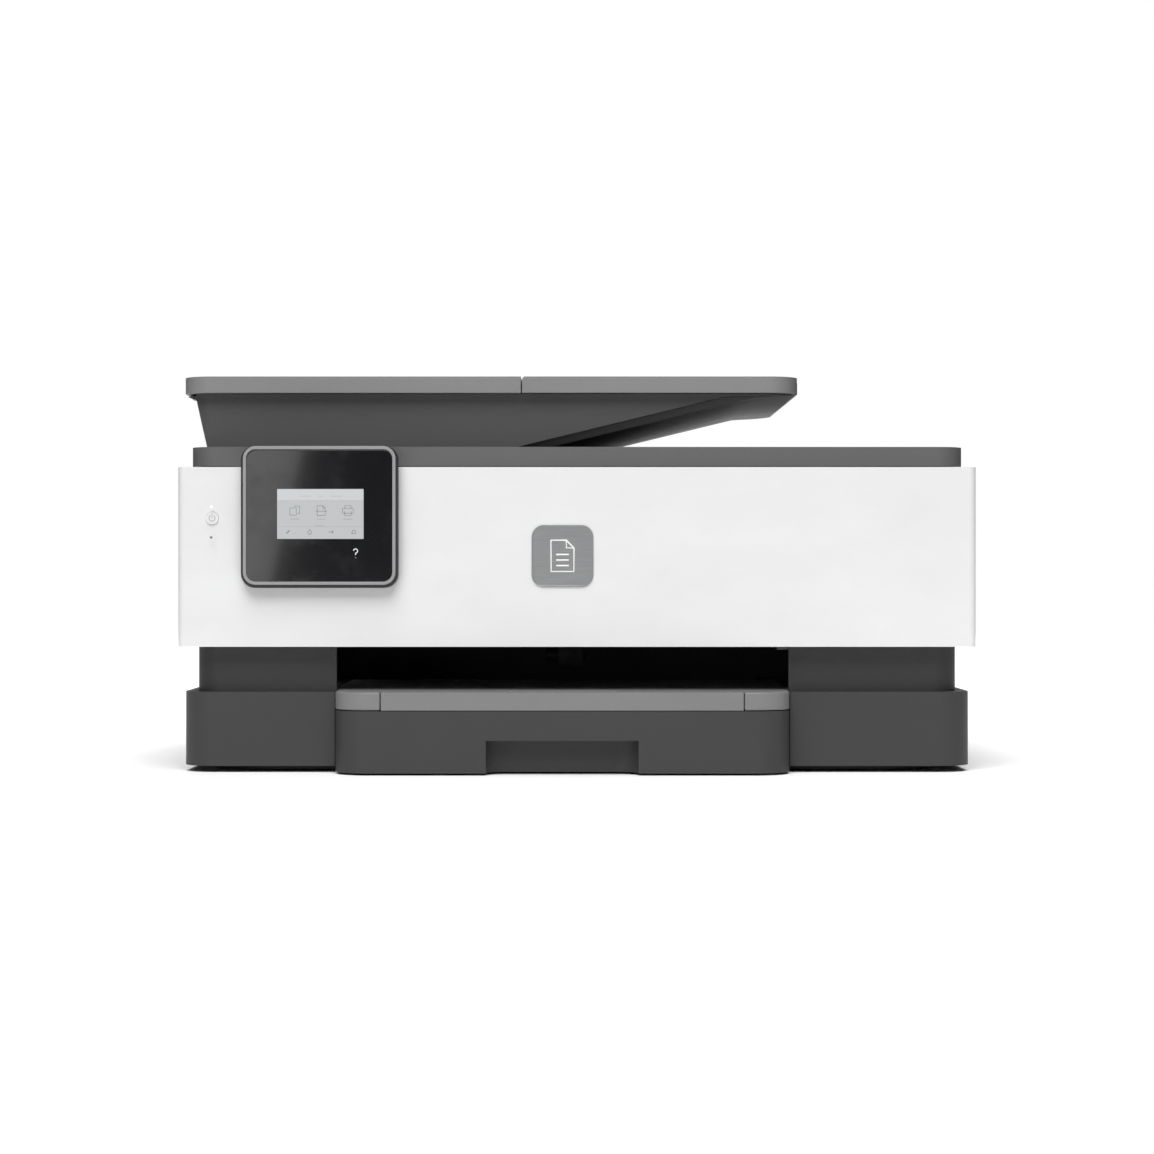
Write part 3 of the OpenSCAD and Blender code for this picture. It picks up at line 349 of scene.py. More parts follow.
def acetal(name, colour=(0.76, 0.74, 0.67)):
    """Natural gear plastic, with a trace of grease."""
    f = Finish(name)
    grease = f.between(f.noise(120, 4, 0.6), 0.5, 0.75)
    f.set(Base_Color=f.blend(grease * 0.5, colour, shade(colour, 0.82)),
          Roughness=0.42 - grease * 0.2, Specular_IOR_Level=0.5,
          Coat_Weight=grease * 0.4)
    f.bump(f.noise(1600, 2), 0.06, 0.03 * MM)
    return f.material


def laminate(name):
    """Circuit board: green resist over copper tracks."""
    f = Finish(name)
    pitch = 2.6 * MM
    tracks = f.between(abs((f.axis("Z") % pitch) / pitch - 0.5), 0.30, 0.34)
    gate = f.between(f.noise(60, 0), 0.48, 0.5)
    line = tracks * gate
    f.set(Base_Color=f.blend(line, (0.012, 0.085, 0.04), (0.03, 0.17, 0.075)),
          Roughness=0.32 + line * 0.08, Coat_Weight=0.3 + line * 0.2)
    f.bump(line, 0.5, 0.05 * MM)
    return f.material


def pleated(name, colour, pitch, axis="X", roughness=0.6, depth=0.12 * MM):
    """Plastic or rubber with even ribs across one axis, such as a toothed belt."""
    f = Finish(name)
    colour = tuple(colour)
    rib = f.between(abs((f.axis(axis) % pitch) / pitch - 0.5), 0.2, 0.3)
    dust = f.noise(300, 3)
    f.set(Base_Color=f.blend(rib * 0.6 + dust * 0.2, colour, shade(colour, 1.7)),
          Roughness=roughness + rib * 0.08)
    f.bump(rib, 0.6, depth)
    return f.material


def make_finishes():
    """All the materials, by the names that the pieces ask for."""
    c = colours()
    return {
        "white": moulded("White moulding", c.white, 0.46, 0.16, 0.35),
        "base": moulded("Dark grey moulding", c.base, 0.5, 0.3),
        "lid": moulded("Lid grey moulding", c.lid, 0.5, 0.3),
        "feeder": moulded("Feeder grey moulding", c.feeder, 0.52, 0.3),
        "plate": moulded("Light grey moulding", c.plate, 0.46, 0.28),
        "tray": moulded("Tray grey moulding", c.tray, 0.46, 0.25),
        "black": moulded("Black moulding", c.black, 0.5, 0.3, 0.3),
        "frame_black": moulded("Black structural moulding", (0.02, 0.02, 0.021), 0.6, 0.4, 0.3),
        "guide": moulded("Guide moulding", (0.035, 0.036, 0.04), 0.4, 0.2),
        "rim": moulded("Panel ring moulding", c.rim, 0.36, 0.1, 0.5),
        "housing": moulded("Panel rim moulding", (0.016, 0.016, 0.017), 0.34, 0.12, 0.5),
        "glass_black": piano_black("Polished black panel"),
        "screen": lit("Display light", c.screen, 0.52),
        "screen_bar": lit("Display bar light", shade(c.screen, 0.93), 0.74),
        "screen_ink": lit("Display symbol light", (0.16, 0.17, 0.19), 0.5),
        "screen_soft": lit("Display soft symbol light", (0.36, 0.375, 0.395), 0.7),
        "lamp_white": lit("White lamp", (0.85, 0.87, 0.9), 1.0),
        "lamp_off": moulded("Dark lamp", (0.18, 0.18, 0.185), 0.25, 0.05, 0.6),
        "symbol_dark": moulded("Printed symbol", (0.09, 0.09, 0.092), 0.5, 0.05),
        "symbol": moulded("Faint symbol", (0.42, 0.42, 0.43), 0.5, 0.05),
        "badge": satin_metal("Badge aluminium", c.badge, 0.34, "X"),
        "badge_mark": moulded("Badge mark", (0.86, 0.86, 0.86), 0.4, 0.1),
        "steel": satin_metal("Ground steel", (0.58, 0.59, 0.60), 0.2, "X"),
        "steel_y": satin_metal("Ground steel across", (0.58, 0.59, 0.60), 0.2, "Y"),
        "zinc": zinc("Zinc plate"),
        "motor": satin_metal("Motor can", (0.42, 0.43, 0.45), 0.34, "Z"),
        "brass": satin_metal("Turned brass", (0.62, 0.46, 0.2), 0.26, "Y"),
        "rubber": rubber("Rubber"),
        "roller": rubber("Roller rubber", (0.045, 0.045, 0.047), 1.4 * MM),
        "roller_y": rubber("Feeder roller rubber", (0.045, 0.045, 0.047), 1.4 * MM, "Y"),
        "belt": pleated("Toothed belt", (0.012, 0.012, 0.013), 2.03 * MM, "X", 0.62),
        "glass": clear_glass("Scanner glass"),
        "foam": foam("White foam"),
        "acetal": acetal("Acetal"),
        "board": laminate("Circuit board"),
        "chip": moulded("Chip body", (0.012, 0.012, 0.013), 0.42, 0.1),
        "cyan": moulded("Cyan moulding", (0.01, 0.29, 0.62), 0.4, 0.15),
        "magenta": moulded("Magenta moulding", (0.52, 0.015, 0.14), 0.4, 0.15),
        "yellow": moulded("Yellow moulding", (0.78, 0.52, 0.008), 0.4, 0.15),
        "ink_black": moulded("Black ink moulding", (0.01, 0.01, 0.011), 0.4, 0.15),
        "label": moulded("Blank label", (0.72, 0.72, 0.70), 0.5, 0.05),
        "felt": foam("Ink felt"),
        "head": moulded("Print head moulding", (0.16, 0.165, 0.17), 0.45, 0.2),
        "port": satin_metal("Socket shell", (0.5, 0.5, 0.51), 0.28, "Y"),
    }


FINISHES = {}


def paint(obj, finish):
    """Gives the whole piece one finish."""
    obj.data.materials.clear()
    obj.data.materials.append(FINISHES[finish])


def paint_faces(obj, finish, test):
    """Gives the faces that test accepts another finish; test takes a centre and a normal."""
    obj.data.materials.append(FINISHES[finish])
    index = len(obj.data.materials) - 1
    for face in obj.data.polygons:
        if test(face.center, face.normal):
            face.material_index = index


# ---- Modelling ----

def only(*objects):
    """Selects just these objects; the first is the active one."""
    if bpy.context.object and bpy.context.object.mode != "OBJECT":
        bpy.ops.object.mode_set(mode="OBJECT")
    bpy.ops.object.select_all(action="DESELECT")
    for obj in objects:
        obj.select_set(True)
    bpy.context.view_layer.objects.active = objects[0]


def settle(obj, name=None):
    """Puts the object's place into its mesh."""
    only(obj)
    bpy.ops.object.transform_apply(location=True, rotation=True, scale=True)
    if name:
        obj.name = name
        obj.data.name = name
    return obj


def block(name, low, high):
    """Box between two corners, the start of most mouldings."""
    low, high = Vector(low), Vector(high)
    bpy.ops.object.select_all(action="DESELECT")
    bpy.ops.mesh.primitive_cube_add(size=1, location=(low + high) / 2)
    obj = bpy.context.object
    obj.scale = high - low
    return settle(obj, name)


def drum(name, start, end, radius, sides=48):
    """Round bar between two points."""
    start, end = Vector(start), Vector(end)
    bpy.ops.object.select_all(action="DESELECT")
    bpy.ops.mesh.primitive_cylinder_add(vertices=sides, radius=radius, depth=(end - start).length,
                                        location=(start + end) / 2)
    obj = bpy.context.object
    obj.rotation_mode = "QUATERNION"
    obj.rotation_quaternion = (end - start).to_track_quat("Z", "Y")
    return settle(obj, name)


def slab(name, x, y, z, corner=0, along=None, edge=0, steps=8):
    """Box in millimetres with round corners whose axis is along, and a softened rim."""
    low, high = zip(x, y, z)
    obj = block(name, Vector(low) * MM, Vector(high) * MM)
    if corner:
        round_edges(obj, corner * MM, along, steps)
    if edge:
        soften(obj, edge * MM)
    return obj


def frame_ring(name, x, y, z, corner, width):
    """Upright ring in millimetres, seen from the front."""
    ring = slab(name, x, y, z, corner, fore_and_aft)
    hole = slab(f"{name}_hole", (x[0] + width, x[1] - width), (y[0] - 1, y[1] + 1),
                (z[0] + width, z[1] - width), max(corner - width, 0.05), fore_and_aft)
    return cut(ring, hole)


def stroke(name, points, radius, level, closed=False, lay="front"):
    """Round line through points in millimetres.

    The points are (x, z) on an upright face, and (x, y) on a level one.
    """
    bpy.ops.object.select_all(action="DESELECT")
    data = bpy.data.curves.new(name, "CURVE")
    data.dimensions = "3D"
    line = data.splines.new("POLY")
    line.points.add(len(points) - 1)
    for point, (a, b) in zip(line.points, points):
        at = (a, level, b) if lay == "front" else (a, b, level)
        point.co = (*(Vector(at) * MM), 1)
    line.use_cyclic_u = closed
    data.bevel_depth = radius * MM
    data.bevel_resolution = 2
    data.use_fill_caps = not closed
    obj = bpy.data.objects.new(name, data)
    bpy.context.scene.collection.objects.link(obj)
    only(obj)
    bpy.ops.object.convert(target="MESH")
    return bpy.context.object


def arc(x, z, radius, start, end, steps=16):
    """Points of an arc, with its angles in degrees from +X towards +Z."""
    turns = (math.radians(start + (end - start) * i / steps) for i in range(steps + 1))
    return [(x + radius * math.cos(t), z + radius * math.sin(t)) for t in turns]


def span(node):
    """The CAD box of a node in millimetres: (x0, x1), (y0, y1), (z0, z1)."""
    low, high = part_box(node)
    return tuple((a / MM, b / MM) for a, b in zip(low, high))


def pick(obj, kind, test):
    """Enters edit mode with the edges or faces that test accepts selected.

    An edge's test takes its two ends, and a face's test its centre and normal.
    """
    only(obj)
    mesh = obj.data
    edges = kind == "EDGE"
    bpy.context.tool_settings.mesh_select_mode = (False, edges, not edges)
    for part in (mesh.vertices, mesh.edges, mesh.polygons):
        part.foreach_set("select", [False] * len(part))
    if edges:
        for edge in mesh.edges:
            a, b = (mesh.vertices[i].co for i in edge.vertices)
            edge.select = bool(test(a, b))
    else:
        for face in mesh.polygons:
            face.select = bool(test(face.center, face.normal))
    bpy.ops.object.mode_set(mode="EDIT")


def done():
    """Leaves edit mode."""
    bpy.ops.object.mode_set(mode="OBJECT")


def round_edges(obj, width, test, segments=4):
    """Rounds the edges whose two ends test accepts."""
    pick(obj, "EDGE", test)
    bpy.ops.mesh.bevel(offset=width, segments=segments, affect="EDGES", clamp_overlap=True)
    done()
    return obj


def upright(a, b):
    """Whether an edge runs upwards."""
    return abs(a.z - b.z) > 0.5 * (a - b).length


def fore_and_aft(a, b):
    """Whether an edge runs along Y."""
    return abs(a.y - b.y) > 0.9 * (a - b).length


def sideways(a, b):
    """Whether an edge runs along X."""
    return abs(a.x - b.x) > 0.9 * (a - b).length


def sink(obj, test, rim, depth):
    """Insets the faces that test accepts and pushes what is inside them in."""
    pick(obj, "FACE", test)
    bpy.ops.mesh.inset(thickness=rim, depth=0, use_even_offset=True)
    bpy.ops.mesh.inset(thickness=HAIR, depth=-depth, use_even_offset=True)
    done()
    return obj


def soften(obj, width, segments=2, angle=30):
    """Rounds every sharp edge a little, then shades by angle."""
    only(obj)
    bevel = obj.modifiers.new("Rounding", "BEVEL")
    bevel.width = width
    bevel.segments = segments
    bevel.limit_method = "ANGLE"
    bevel.angle_limit = math.radians(angle)
    bevel.use_clamp_overlap = True
    bpy.ops.object.modifier_apply(modifier=bevel.name)
    return even(obj)


def even(obj):
    """Shades by angle, with the large flat faces kept flat."""
    only(obj)
    bpy.ops.object.shade_smooth_by_angle(angle=math.radians(35))
    normals = obj.modifiers.new("Shading", "WEIGHTED_NORMAL")
    normals.keep_sharp = True
    bpy.ops.object.modifier_apply(modifier=normals.name)
    return obj


def cut(obj, *cutters, operation="DIFFERENCE"):
    """Cuts the other pieces out of this one and removes them."""
    for cutter in cutters:
        only(obj)
        tool = obj.modifiers.new("Cut", "BOOLEAN")
        tool.operation = operation
        tool.solver = "EXACT"
        tool.object = cutter
        bpy.ops.object.modifier_apply(modifier=tool.name)
        bpy.data.objects.remove(cutter)
    return obj


def join(name, *objects):
    """Makes one piece of several."""
    only(*objects)
    if len(objects) > 1:
        bpy.ops.object.join()
    objects[0].name = name
    objects[0].data.name = name
    return objects[0]


def twin(obj, name, offset):
    """A copy with its own mesh, moved by offset."""
    copy = obj.copy()
    copy.data = obj.data.copy()
    copy.name = name
    copy.data.name = name
    bpy.context.scene.collection.objects.link(copy)
    copy.data.transform(Matrix.Translation(Vector(offset)))
    return copy


def row(first, count, step):
    """The piece and its copies, each one step in millimetres further."""
    return [first] + [twin(first, f"{first.name}_{i}", Vector(step) * i * MM)
                      for i in range(1, count)]


def moulding(node, width, merge_angle=0.5):
    """The shape of a CAD node as a clean moulding, with edges rounded by width millimetres."""
    name = f"{node}_moulding"
    source = frame["nodes"][node]
    obj = source.copy()
    obj.data = source.data.copy()
    obj.name = name
    obj.data.name = name
    obj.parent = None
    for key in list(obj.keys()):
        del obj[key]
    obj.hide_render = False
    bpy.context.scene.collection.objects.link(obj)
    only(obj)
    bpy.ops.object.mode_set(mode="EDIT")
    bpy.ops.mesh.select_all(action="SELECT")
    bpy.ops.mesh.remove_doubles(threshold=0.002 * MM)
    bpy.ops.mesh.dissolve_limited(angle_limit=math.radians(merge_angle))
    bpy.ops.object.mode_set(mode="OBJECT")
    if width:
        soften(obj, width * MM * sizes().rounding, sizes().steps)
    else:
        even(obj)
    return obj


def slot_of(node):
    """The record's material slot of a CAD node."""
    for part in frame["record"]["subparts"]:
        if part["node"] == node:
            return part["material_slot"]
    raise KeyError(node)


def body_of(node):
    """The body that a CAD node rides on."""
    for body, members in frame["record"]["behaviour"]["bodies"].items():
        if node in members:
            return body
    raise KeyError(node)


def place(obj, node, finish=None, stands_for=False):
    """Rides the piece on the body of a CAD node, gives it the finish if one is given, and hides the
    node it stands for.
    """
    if finish:
        paint(obj, finish)
    if stands_for:
        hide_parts(node)
    slot_of(node)
    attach(obj, body_of(node))
    return obj


# ---- Plain nodes: each keeps its CAD shape and gets a finish ----

KEPT = {
    "base_pan": "frame_black", "scan_rod": "steel", "lid_hinges": "black", "print_frame": "zinc",
    "carriage_rod": "steel", "carriage_belt": "belt", "motor_screws": "zinc",
    "power_supply": "frame_black",
}

# CAD nodes copied as rounded mouldings: finish and rounding
MOULDED = {
    "base_shell": ("base", 1.4), "rear_door": ("white", 0.5),
    "scanner_lid": ("lid", 1.0), "feeder_body": ("feeder", 0.6),
    "feeder_tray": ("plate", 1.2), "output_tray": ("tray", 0.9), "input_tray": ("base", 1.2),
    "output_extender": ("tray", 0.7), "extender_stop": ("tray", 0.4),
    "lid_pad": ("foam", 0.6), "main_board": ("board", 0.05),
    "feeder_guide_front": ("guide", 0.4), "feeder_guide_rear": ("guide", 0.4),
    "paper_guide_left": ("guide", 0.4), "paper_guide_right": ("guide", 0.4),
    "length_guide": ("guide", 0.4), "platen": ("frame_black", 0.3), "carriage": ("black", 0.6),
    "printhead": ("head", 0.4), "scan_bar": ("black", 0.4), "pick_arm": ("frame_black", 0.4),
    "capping_sled": ("frame_black", 0.4), "waste_ink_tray": ("felt", 0.5),
    "power_inlet": ("black", 0.3), "front_door": ("white", 0.5), "rubber_feet": ("rubber", 0.3),
    "scanner_glass": ("glass", 0.1), "carriage_motor": ("motor", 0.5), "feed_motor": ("motor", 0.5),
    "motor_pulley": ("brass", 0.2), "idler_pulley": ("acetal", 0.2),
    "motor_pinion": ("brass", 0.0), "feed_gear": ("acetal", 0.0), "idler_gear": ("acetal", 0.0),
    "pick_roller": ("roller", 0.3), "star_wheels": ("steel", 0.0),
}

# Rollers: the finish of the rolls, the axis of the shaft, its radius and the rounding
ROLLERS = {
    "feed_roller": ("roller", "X", 4.0, 0.3), "output_roller": ("roller", "X", 3.0, 0.0),
    "pinch_rollers": ("acetal", "X", 1.5, 0.2), "feeder_pick_roller": ("roller_y", "Y", 2.5, 0.3),
    "feeder_exit_roller": ("roller_y", "Y", 2.5, 0.3),
}

INKS = {"cartridge_black": "ink_black", "cartridge_cyan": "cyan", "cartridge_magenta": "magenta",
        "cartridge_yellow": "yellow"}


class PRINTER_OT_mouldings(bpy.types.Operator):
    """Finish the CAD nodes and make the rounded mouldings"""
    bl_idname = "printer.mouldings"
    bl_label = "Mouldings"

    def execute(self, context):
        for node, finish in KEPT.items():
            obj = frame["nodes"][node]
            obj.data.materials.clear()
            obj.data.materials.append(FINISHES[finish])
        for node, (finish, width) in MOULDED.items():
            place(moulding(node, width), node, finish, stands_for=True)
        self.board()
        self.inlet()
        return {"FINISHED"}

    def board(self):
        """Black chips and metal sockets on the main board."""
        board = bpy.data.objects["main_board_moulding"]
        face = (span("main_board")[0][1] - 1.6) * MM
        rear = (span("main_board")[1][1] - 24) * MM
        paint_faces(board, "chip", lambda at, normal: at.x < face - HAIR)
        paint_faces(board, "port", lambda at, normal: at.x < face - HAIR and at.y > rear)

    def inlet(self):
        """Steel pins in the mains inlet."""
        x, y, z = span("power_inlet")
        middle, level = (x[0] + x[1]) / 2, (z[0] + z[1]) / 2
        paint_faces(bpy.data.objects["power_inlet_moulding"], "steel_y",
                    lambda at, normal: at.y > (y[0] + 6.1) * MM and abs(at.z / MM - level) < 1.3
                    and abs(abs(at.x / MM - middle) - 4.5) < 1.3)


class PRINTER_OT_control_panel(bpy.types.Operator):
    """Make the panel's housing, its ring, its glass and the picture on its display"""
    bl_idname = "printer.control_panel"
    bl_label = "Control panel"

    def execute(self, context):
        x, y, z = span("panel_housing")
        self.front = y[0]
        self.housing(x, y, z)
        glass = slab("panel_cover", (x[0] + 3.1, x[1] - 3.4), (y[0] + 0.05, y[0] + 1.6),
                     (z[0] + 3.4, z[1] - 2.7), 5.6, fore_and_aft, 0.25)
        place(glass, "panel_glass", "glass_black", stands_for=True)
        self.display(*span("display_screen"))
        return {"FINISHED"}

    def housing(self, x, y, z):
        """Rounded shell with an open back, a slot at the top that the tilt pin sits in, side
        notches, the pin and the ring.
        """
        rim = slab("panel_rim", x, (y[0] + 0.6, y[1]), z, 8.3, fore_and_aft, 0.5)
        hollow = slab("panel_hollow", (x[0] + 2, x[1] - 2), (y[0] + 3.4, y[1] + 1),
                      (z[0] + 2, z[1] - 2), 6.3, fore_and_aft)
        tilt = (x[0] + x[1]) / 2
        slot = slab("panel_slot", (tilt - 13.5, tilt + 13.5), (y[0] + 4.2, y[1] + 1),
                    (z[1] - 9, z[1] + 1))
        rim = cut(rim, hollow, slot)
        notches = [slab(f"panel_notch_{side}", (edge - 0.35, edge + 0.35), (y[0] - 1, y[0] + 2.2),
                        (z[1] - 22.6, z[1] - 21.4))
                   for side, edge in (("left", x[0] + 1.2), ("right", x[1] - 1.4))]
        rim = cut(rim, *notches)
        even(rim)
        place(rim, "panel_housing", "housing", stands_for=True)
        pin = drum("tilt_pin", ((tilt - 13.6) * MM, -146.5 * MM, (z[1] - 4.2) * MM),
                   ((tilt + 13.6) * MM, -146.5 * MM, (z[1] - 4.2) * MM), 1.5 * MM, 24)
        soften(pin, 0.2 * MM)
        place(pin, "panel_housing", "steel")
        ring = frame_ring("panel_ring", (x[0] + 1.2, x[1] - 1.4), (y[0], y[0] + 1.4),
                          (z[0] + 1.8, z[1] - 0.3), 7.2, 1.9)
        soften(ring, 0.3 * MM)
        place(ring, "panel_housing", "rim")

    def display(self, x, y, z):
        """The picture: a top bar, three large symbols, a divider and four small ones."""
        self.y = y[0]
        screen = slab("display_face", x, (y[0] + 0.05, y[1]), z, 0.3, fore_and_aft, 0.03)
        place(screen, "display_screen", "screen", stands_for=True)
        bar = slab("display_bar", (x[0] + 0.1, x[1] - 0.1), (self.y, self.y + 0.1),
                   (z[1] - 6.3, z[1] - 0.1))
        place(bar, "display_screen", "screen_bar")
        self.lines("display_rules", "screen_soft", [
            ([(x[0] + 0.2, z[0] + 7.1), (x[1] - 0.2, z[0] + 7.1)], 0.07),
            ([(x[0] + 21.3, z[0] + 7.6), (x[0] + 26.6, z[0] + 7.6)], 0.3)])
        marks = [([(x[0] + a, z[1] - 4.1), (x[0] + b, z[1] - 4.1)], 0.42)
                 for a, b in ((13.0, 19.2), (23.4, 26.2), (30.4, 37.6))]
        self.lines("display_bar_marks", "screen_soft", marks)
        large = self.copy_symbol(x[0] + 10.1, z[0] + 16.2)
        large += self.scan_symbol(x[0] + 25.2, z[0] + 16.2)
        large += self.print_symbol(x[0] + 40.5, z[0] + 16.2)
        self.lines("display_symbols", "screen_ink", large)
        captions = [([(x[0] + a - 2.6, z[0] + 11.4), (x[0] + a + 2.6, z[0] + 11.4)], 0.35)
                    for a in (10.1, 25.2, 40.5)]
        self.lines("display_captions", "screen_soft", captions)
        self.lines("display_small_symbols", "screen_ink", self.small_symbols(x[0], z[0] + 4.0))
        hook = arc(x[1] - 4.6, z[0] - 6.9, 1.2, 172, -90, 18) + [(x[1] - 4.6, z[0] - 9.2)]
        dot = [(x[1] - 4.6, z[0] - 10.7), (x[1] - 4.6, z[0] - 10.8)]
        self.lines("help_mark", "lamp_white", [(hook, 0.28), (dot, 0.34)], self.front - 0.02)

    def lines(self, name, finish, lines, y=None):
        """Joins round strokes, half sunk in the display, into one piece."""
        y = self.y if y is None else y
        parts = [stroke(f"{name}_{i}", points, radius, y + radius - 0.05)
                 for i, (points, radius) in enumerate(lines)]
        place(join(name, *parts), "display_screen", finish)

    def copy_symbol(self, x, z):
        back = [(x - 0.6, z + 2.6), (x + 2.8, z + 2.6), (x + 2.8, z - 1.6), (x + 1.6, z - 1.6)]
        page = [(x - 2.8, z - 2.6), (x + 0.9, z - 2.6), (x + 0.9, z + 1.5), (x - 2.8, z + 1.5)]
        return [(back, 0.16), (page + page[:1], 0.16)]

    def scan_symbol(self, x, z):
        page = [(x - 2.3, z - 2.8), (x + 2.3, z - 2.8), (x + 2.3, z + 1.4), (x + 0.9, z + 2.8),
                (x - 2.3, z + 2.8), (x - 2.3, z - 2.8)]
        fold = [(x + 0.9, z + 2.8), (x + 0.9, z + 1.4), (x + 2.3, z + 1.4)]
        beam = [(x - 3.2, z - 0.3), (x + 3.2, z - 0.3)]
        return [(page, 0.16), (fold, 0.13), (beam, 0.16)]

    def print_symbol(self, x, z):
        case = [(x - 3.1, z - 1.5), (x + 3.1, z - 1.5), (x + 3.1, z + 1.3), (x - 3.1, z + 1.3)]
        sheet = [(x - 1.8, z + 1.3), (x - 1.8, z + 2.8), (x + 1.8, z + 2.8), (x + 1.8, z + 1.3)]
        tray = [(x - 1.9, z - 0.4), (x - 1.9, z - 2.8), (x + 1.9, z - 2.8), (x + 1.9, z - 0.4)]
        return [(case + case[:1], 0.16), (sheet, 0.16), (tray, 0.16)]

    def small_symbols(self, x, z):
        """A pencil, a drop, an arrow and a bell."""
        drop = arc(x + 18.6, z - 0.4, 1.0, 20, -200, 12) + [(x + 18.6, z + 1.7)]
        bell = arc(x + 43.9, z + 0.3, 0.8, 0, 180, 8)
        return [
            ([(x + 5.3, z - 1.0), (x + 7.1, z + 0.9)], 0.38),
            (drop + drop[:1], 0.18),
            ([(x + 29.4, z), (x + 32.2, z)], 0.2),
            ([(x + 31.2, z + 0.9), (x + 32.2, z), (x + 31.2, z - 0.9)], 0.2),
            ([(x + 42.6, z - 0.9), *bell[::-1], (x + 45.2, z - 0.9), (x + 42.6, z - 0.9)], 0.18),
        ]


class PRINTER_OT_shell(bpy.types.Operator):
    """Make the white shell with its vents, and the dark frame round the scanner glass"""
    bl_idname = "printer.shell"
    bl_label = "White shell"

    def execute(self, context):
        x, y, z = span("upper_shell")
        pitch, slot, end = 5.2, 2.2, 1.05
        rear = slab("rear_vent", (x[0] + 18, x[0] + 78), (y[1] - 3.4, y[1] + 1),
                    (z[0] + 22, z[0] + 22 + slot), end, fore_and_aft)
        side = slab("side_vent", (x[0] - 1, x[0] + 3.4), (y[1] - 110, y[1] - 50),
                    (z[0] + 12, z[0] + 12 + slot), end, sideways)
        shell = cut(moulding("upper_shell", 0.9), *row(rear, 9, (0, 0, pitch)),
                    *row(side, 5, (0, 0, pitch)))
        place(even(shell), "upper_shell", "white", stands_for=True)
        self.bezel(z[1])
        return {"FINISHED"}

    def bezel(self, deck):
        """Printed frame on the deck, open over the pane and over the feeder's strip."""
        x, y, _ = span("scanner_glass")
        border, strip, bar_end, gap = 7, 13.8, 26, 0.2
        frame_piece = slab("glass_bezel", (x[0] - border, x[1] + border),
                           (y[0] - border, y[1] + border), (deck - 0.02, deck + 0.18), 4, upright)
        holes = [slab("bezel_hole", across, (y[0] - gap, y[1] + gap), (deck - 1, deck + 1))
                 for across in ((x[0] + bar_end, x[1] + gap), (x[0] - gap, x[0] + strip))]
        place(even(cut(frame_piece, *holes)), "upper_shell", "guide")


class PRINTER_OT_front_door(bpy.types.Operator):
    """Make the ribs and the latches inside the front door"""
    bl_idname = "printer.front_door"
    bl_label = "Front door ribs"

    def execute(self, context):
        x, y, z = span("front_door")
        back = y[1] - 6.3
        top = span("upper_shell")[2][1] - 0.3
        first, pitch = -80, 60
        rib = slab("door_rib", (first - 0.8, first + 0.8), (back - 0.1, back + 4.4),
                   (z[0] + 3, top - 3))
        rail = slab("door_rail", (first, x[1] - 3), (back - 0.1, back + 3.2),
                    (z[0] + 34, z[0] + 35.5))
        ribs = join("door_ribs", *row(rib, 5, (pitch, 0, 0)), *row(rail, 2, (0, 0, 34)))
        place(soften(ribs, 0.25 * MM), "front_door", "white")
        self.latches(x[0] + 9, x[1] - 17, back, top)
        return {"FINISHED"}

    def latches(self, left, right, back, top):
        """Two tapered lugs that snap into the shell."""
        lug = slab("door_latch_left", (left, left + 8), (back - 0.1, back + 5.4),
                   (top - 13, top - 5))
        pick(lug, "FACE", lambda centre, normal: normal.y > 0.9)
        bpy.ops.transform.resize(value=(1, 1, 0.5))
        done()
        soften(lug, 0.5 * MM)
        for piece in (lug, twin(lug, "door_latch_right", X * (right - left) * MM)):
            place(piece, "front_door", "white")


class PRINTER_OT_rollers(bpy.types.Operator):
    """Make the rollers, with steel shafts and rubber or plastic rolls"""
    bl_idname = "printer.rollers"
    bl_label = "Rollers"

    def execute(self, context):
        for node, (finish, axis, radius, width) in ROLLERS.items():
            obj = moulding(node, width)
            place(obj, node, finish, stands_for=True)
            self.paint_shaft(obj, axis, (radius + 0.05) * MM)
        gear_end = (span("output_roller")[0][0] + 8.5) * MM
        obj = bpy.data.objects["output_roller_moulding"]
        steel = obj.data.materials[:].index(FINISHES["steel"])
        obj.data.materials.append(FINISHES["acetal"])
        for face in obj.data.polygons:
            if face.center.x < gear_end and face.material_index != steel:
                face.material_index = len(obj.data.materials) - 1
        return {"FINISHED"}

    def paint_shaft(self, obj, axis, radius):
        """Gives the faces that lie within the shaft's radius a steel finish."""
        along = "XYZ".index(axis)
        points = [v.co.copy() for v in obj.data.vertices]
        low = Vector([min(p[i] for p in points) for i in range(3)])
        high = Vector([max(p[i] for p in points) for i in range(3)])
        middle = (low + high) / 2
        for point in points:
            point[along] = middle[along]
        obj.data.materials.append(FINISHES["steel" if axis == "X" else "steel_y"])
        index = len(obj.data.materials) - 1
        for face in obj.data.polygons:
            if max((points[i] - middle).length for i in face.vertices) <= radius:
                face.material_index = index


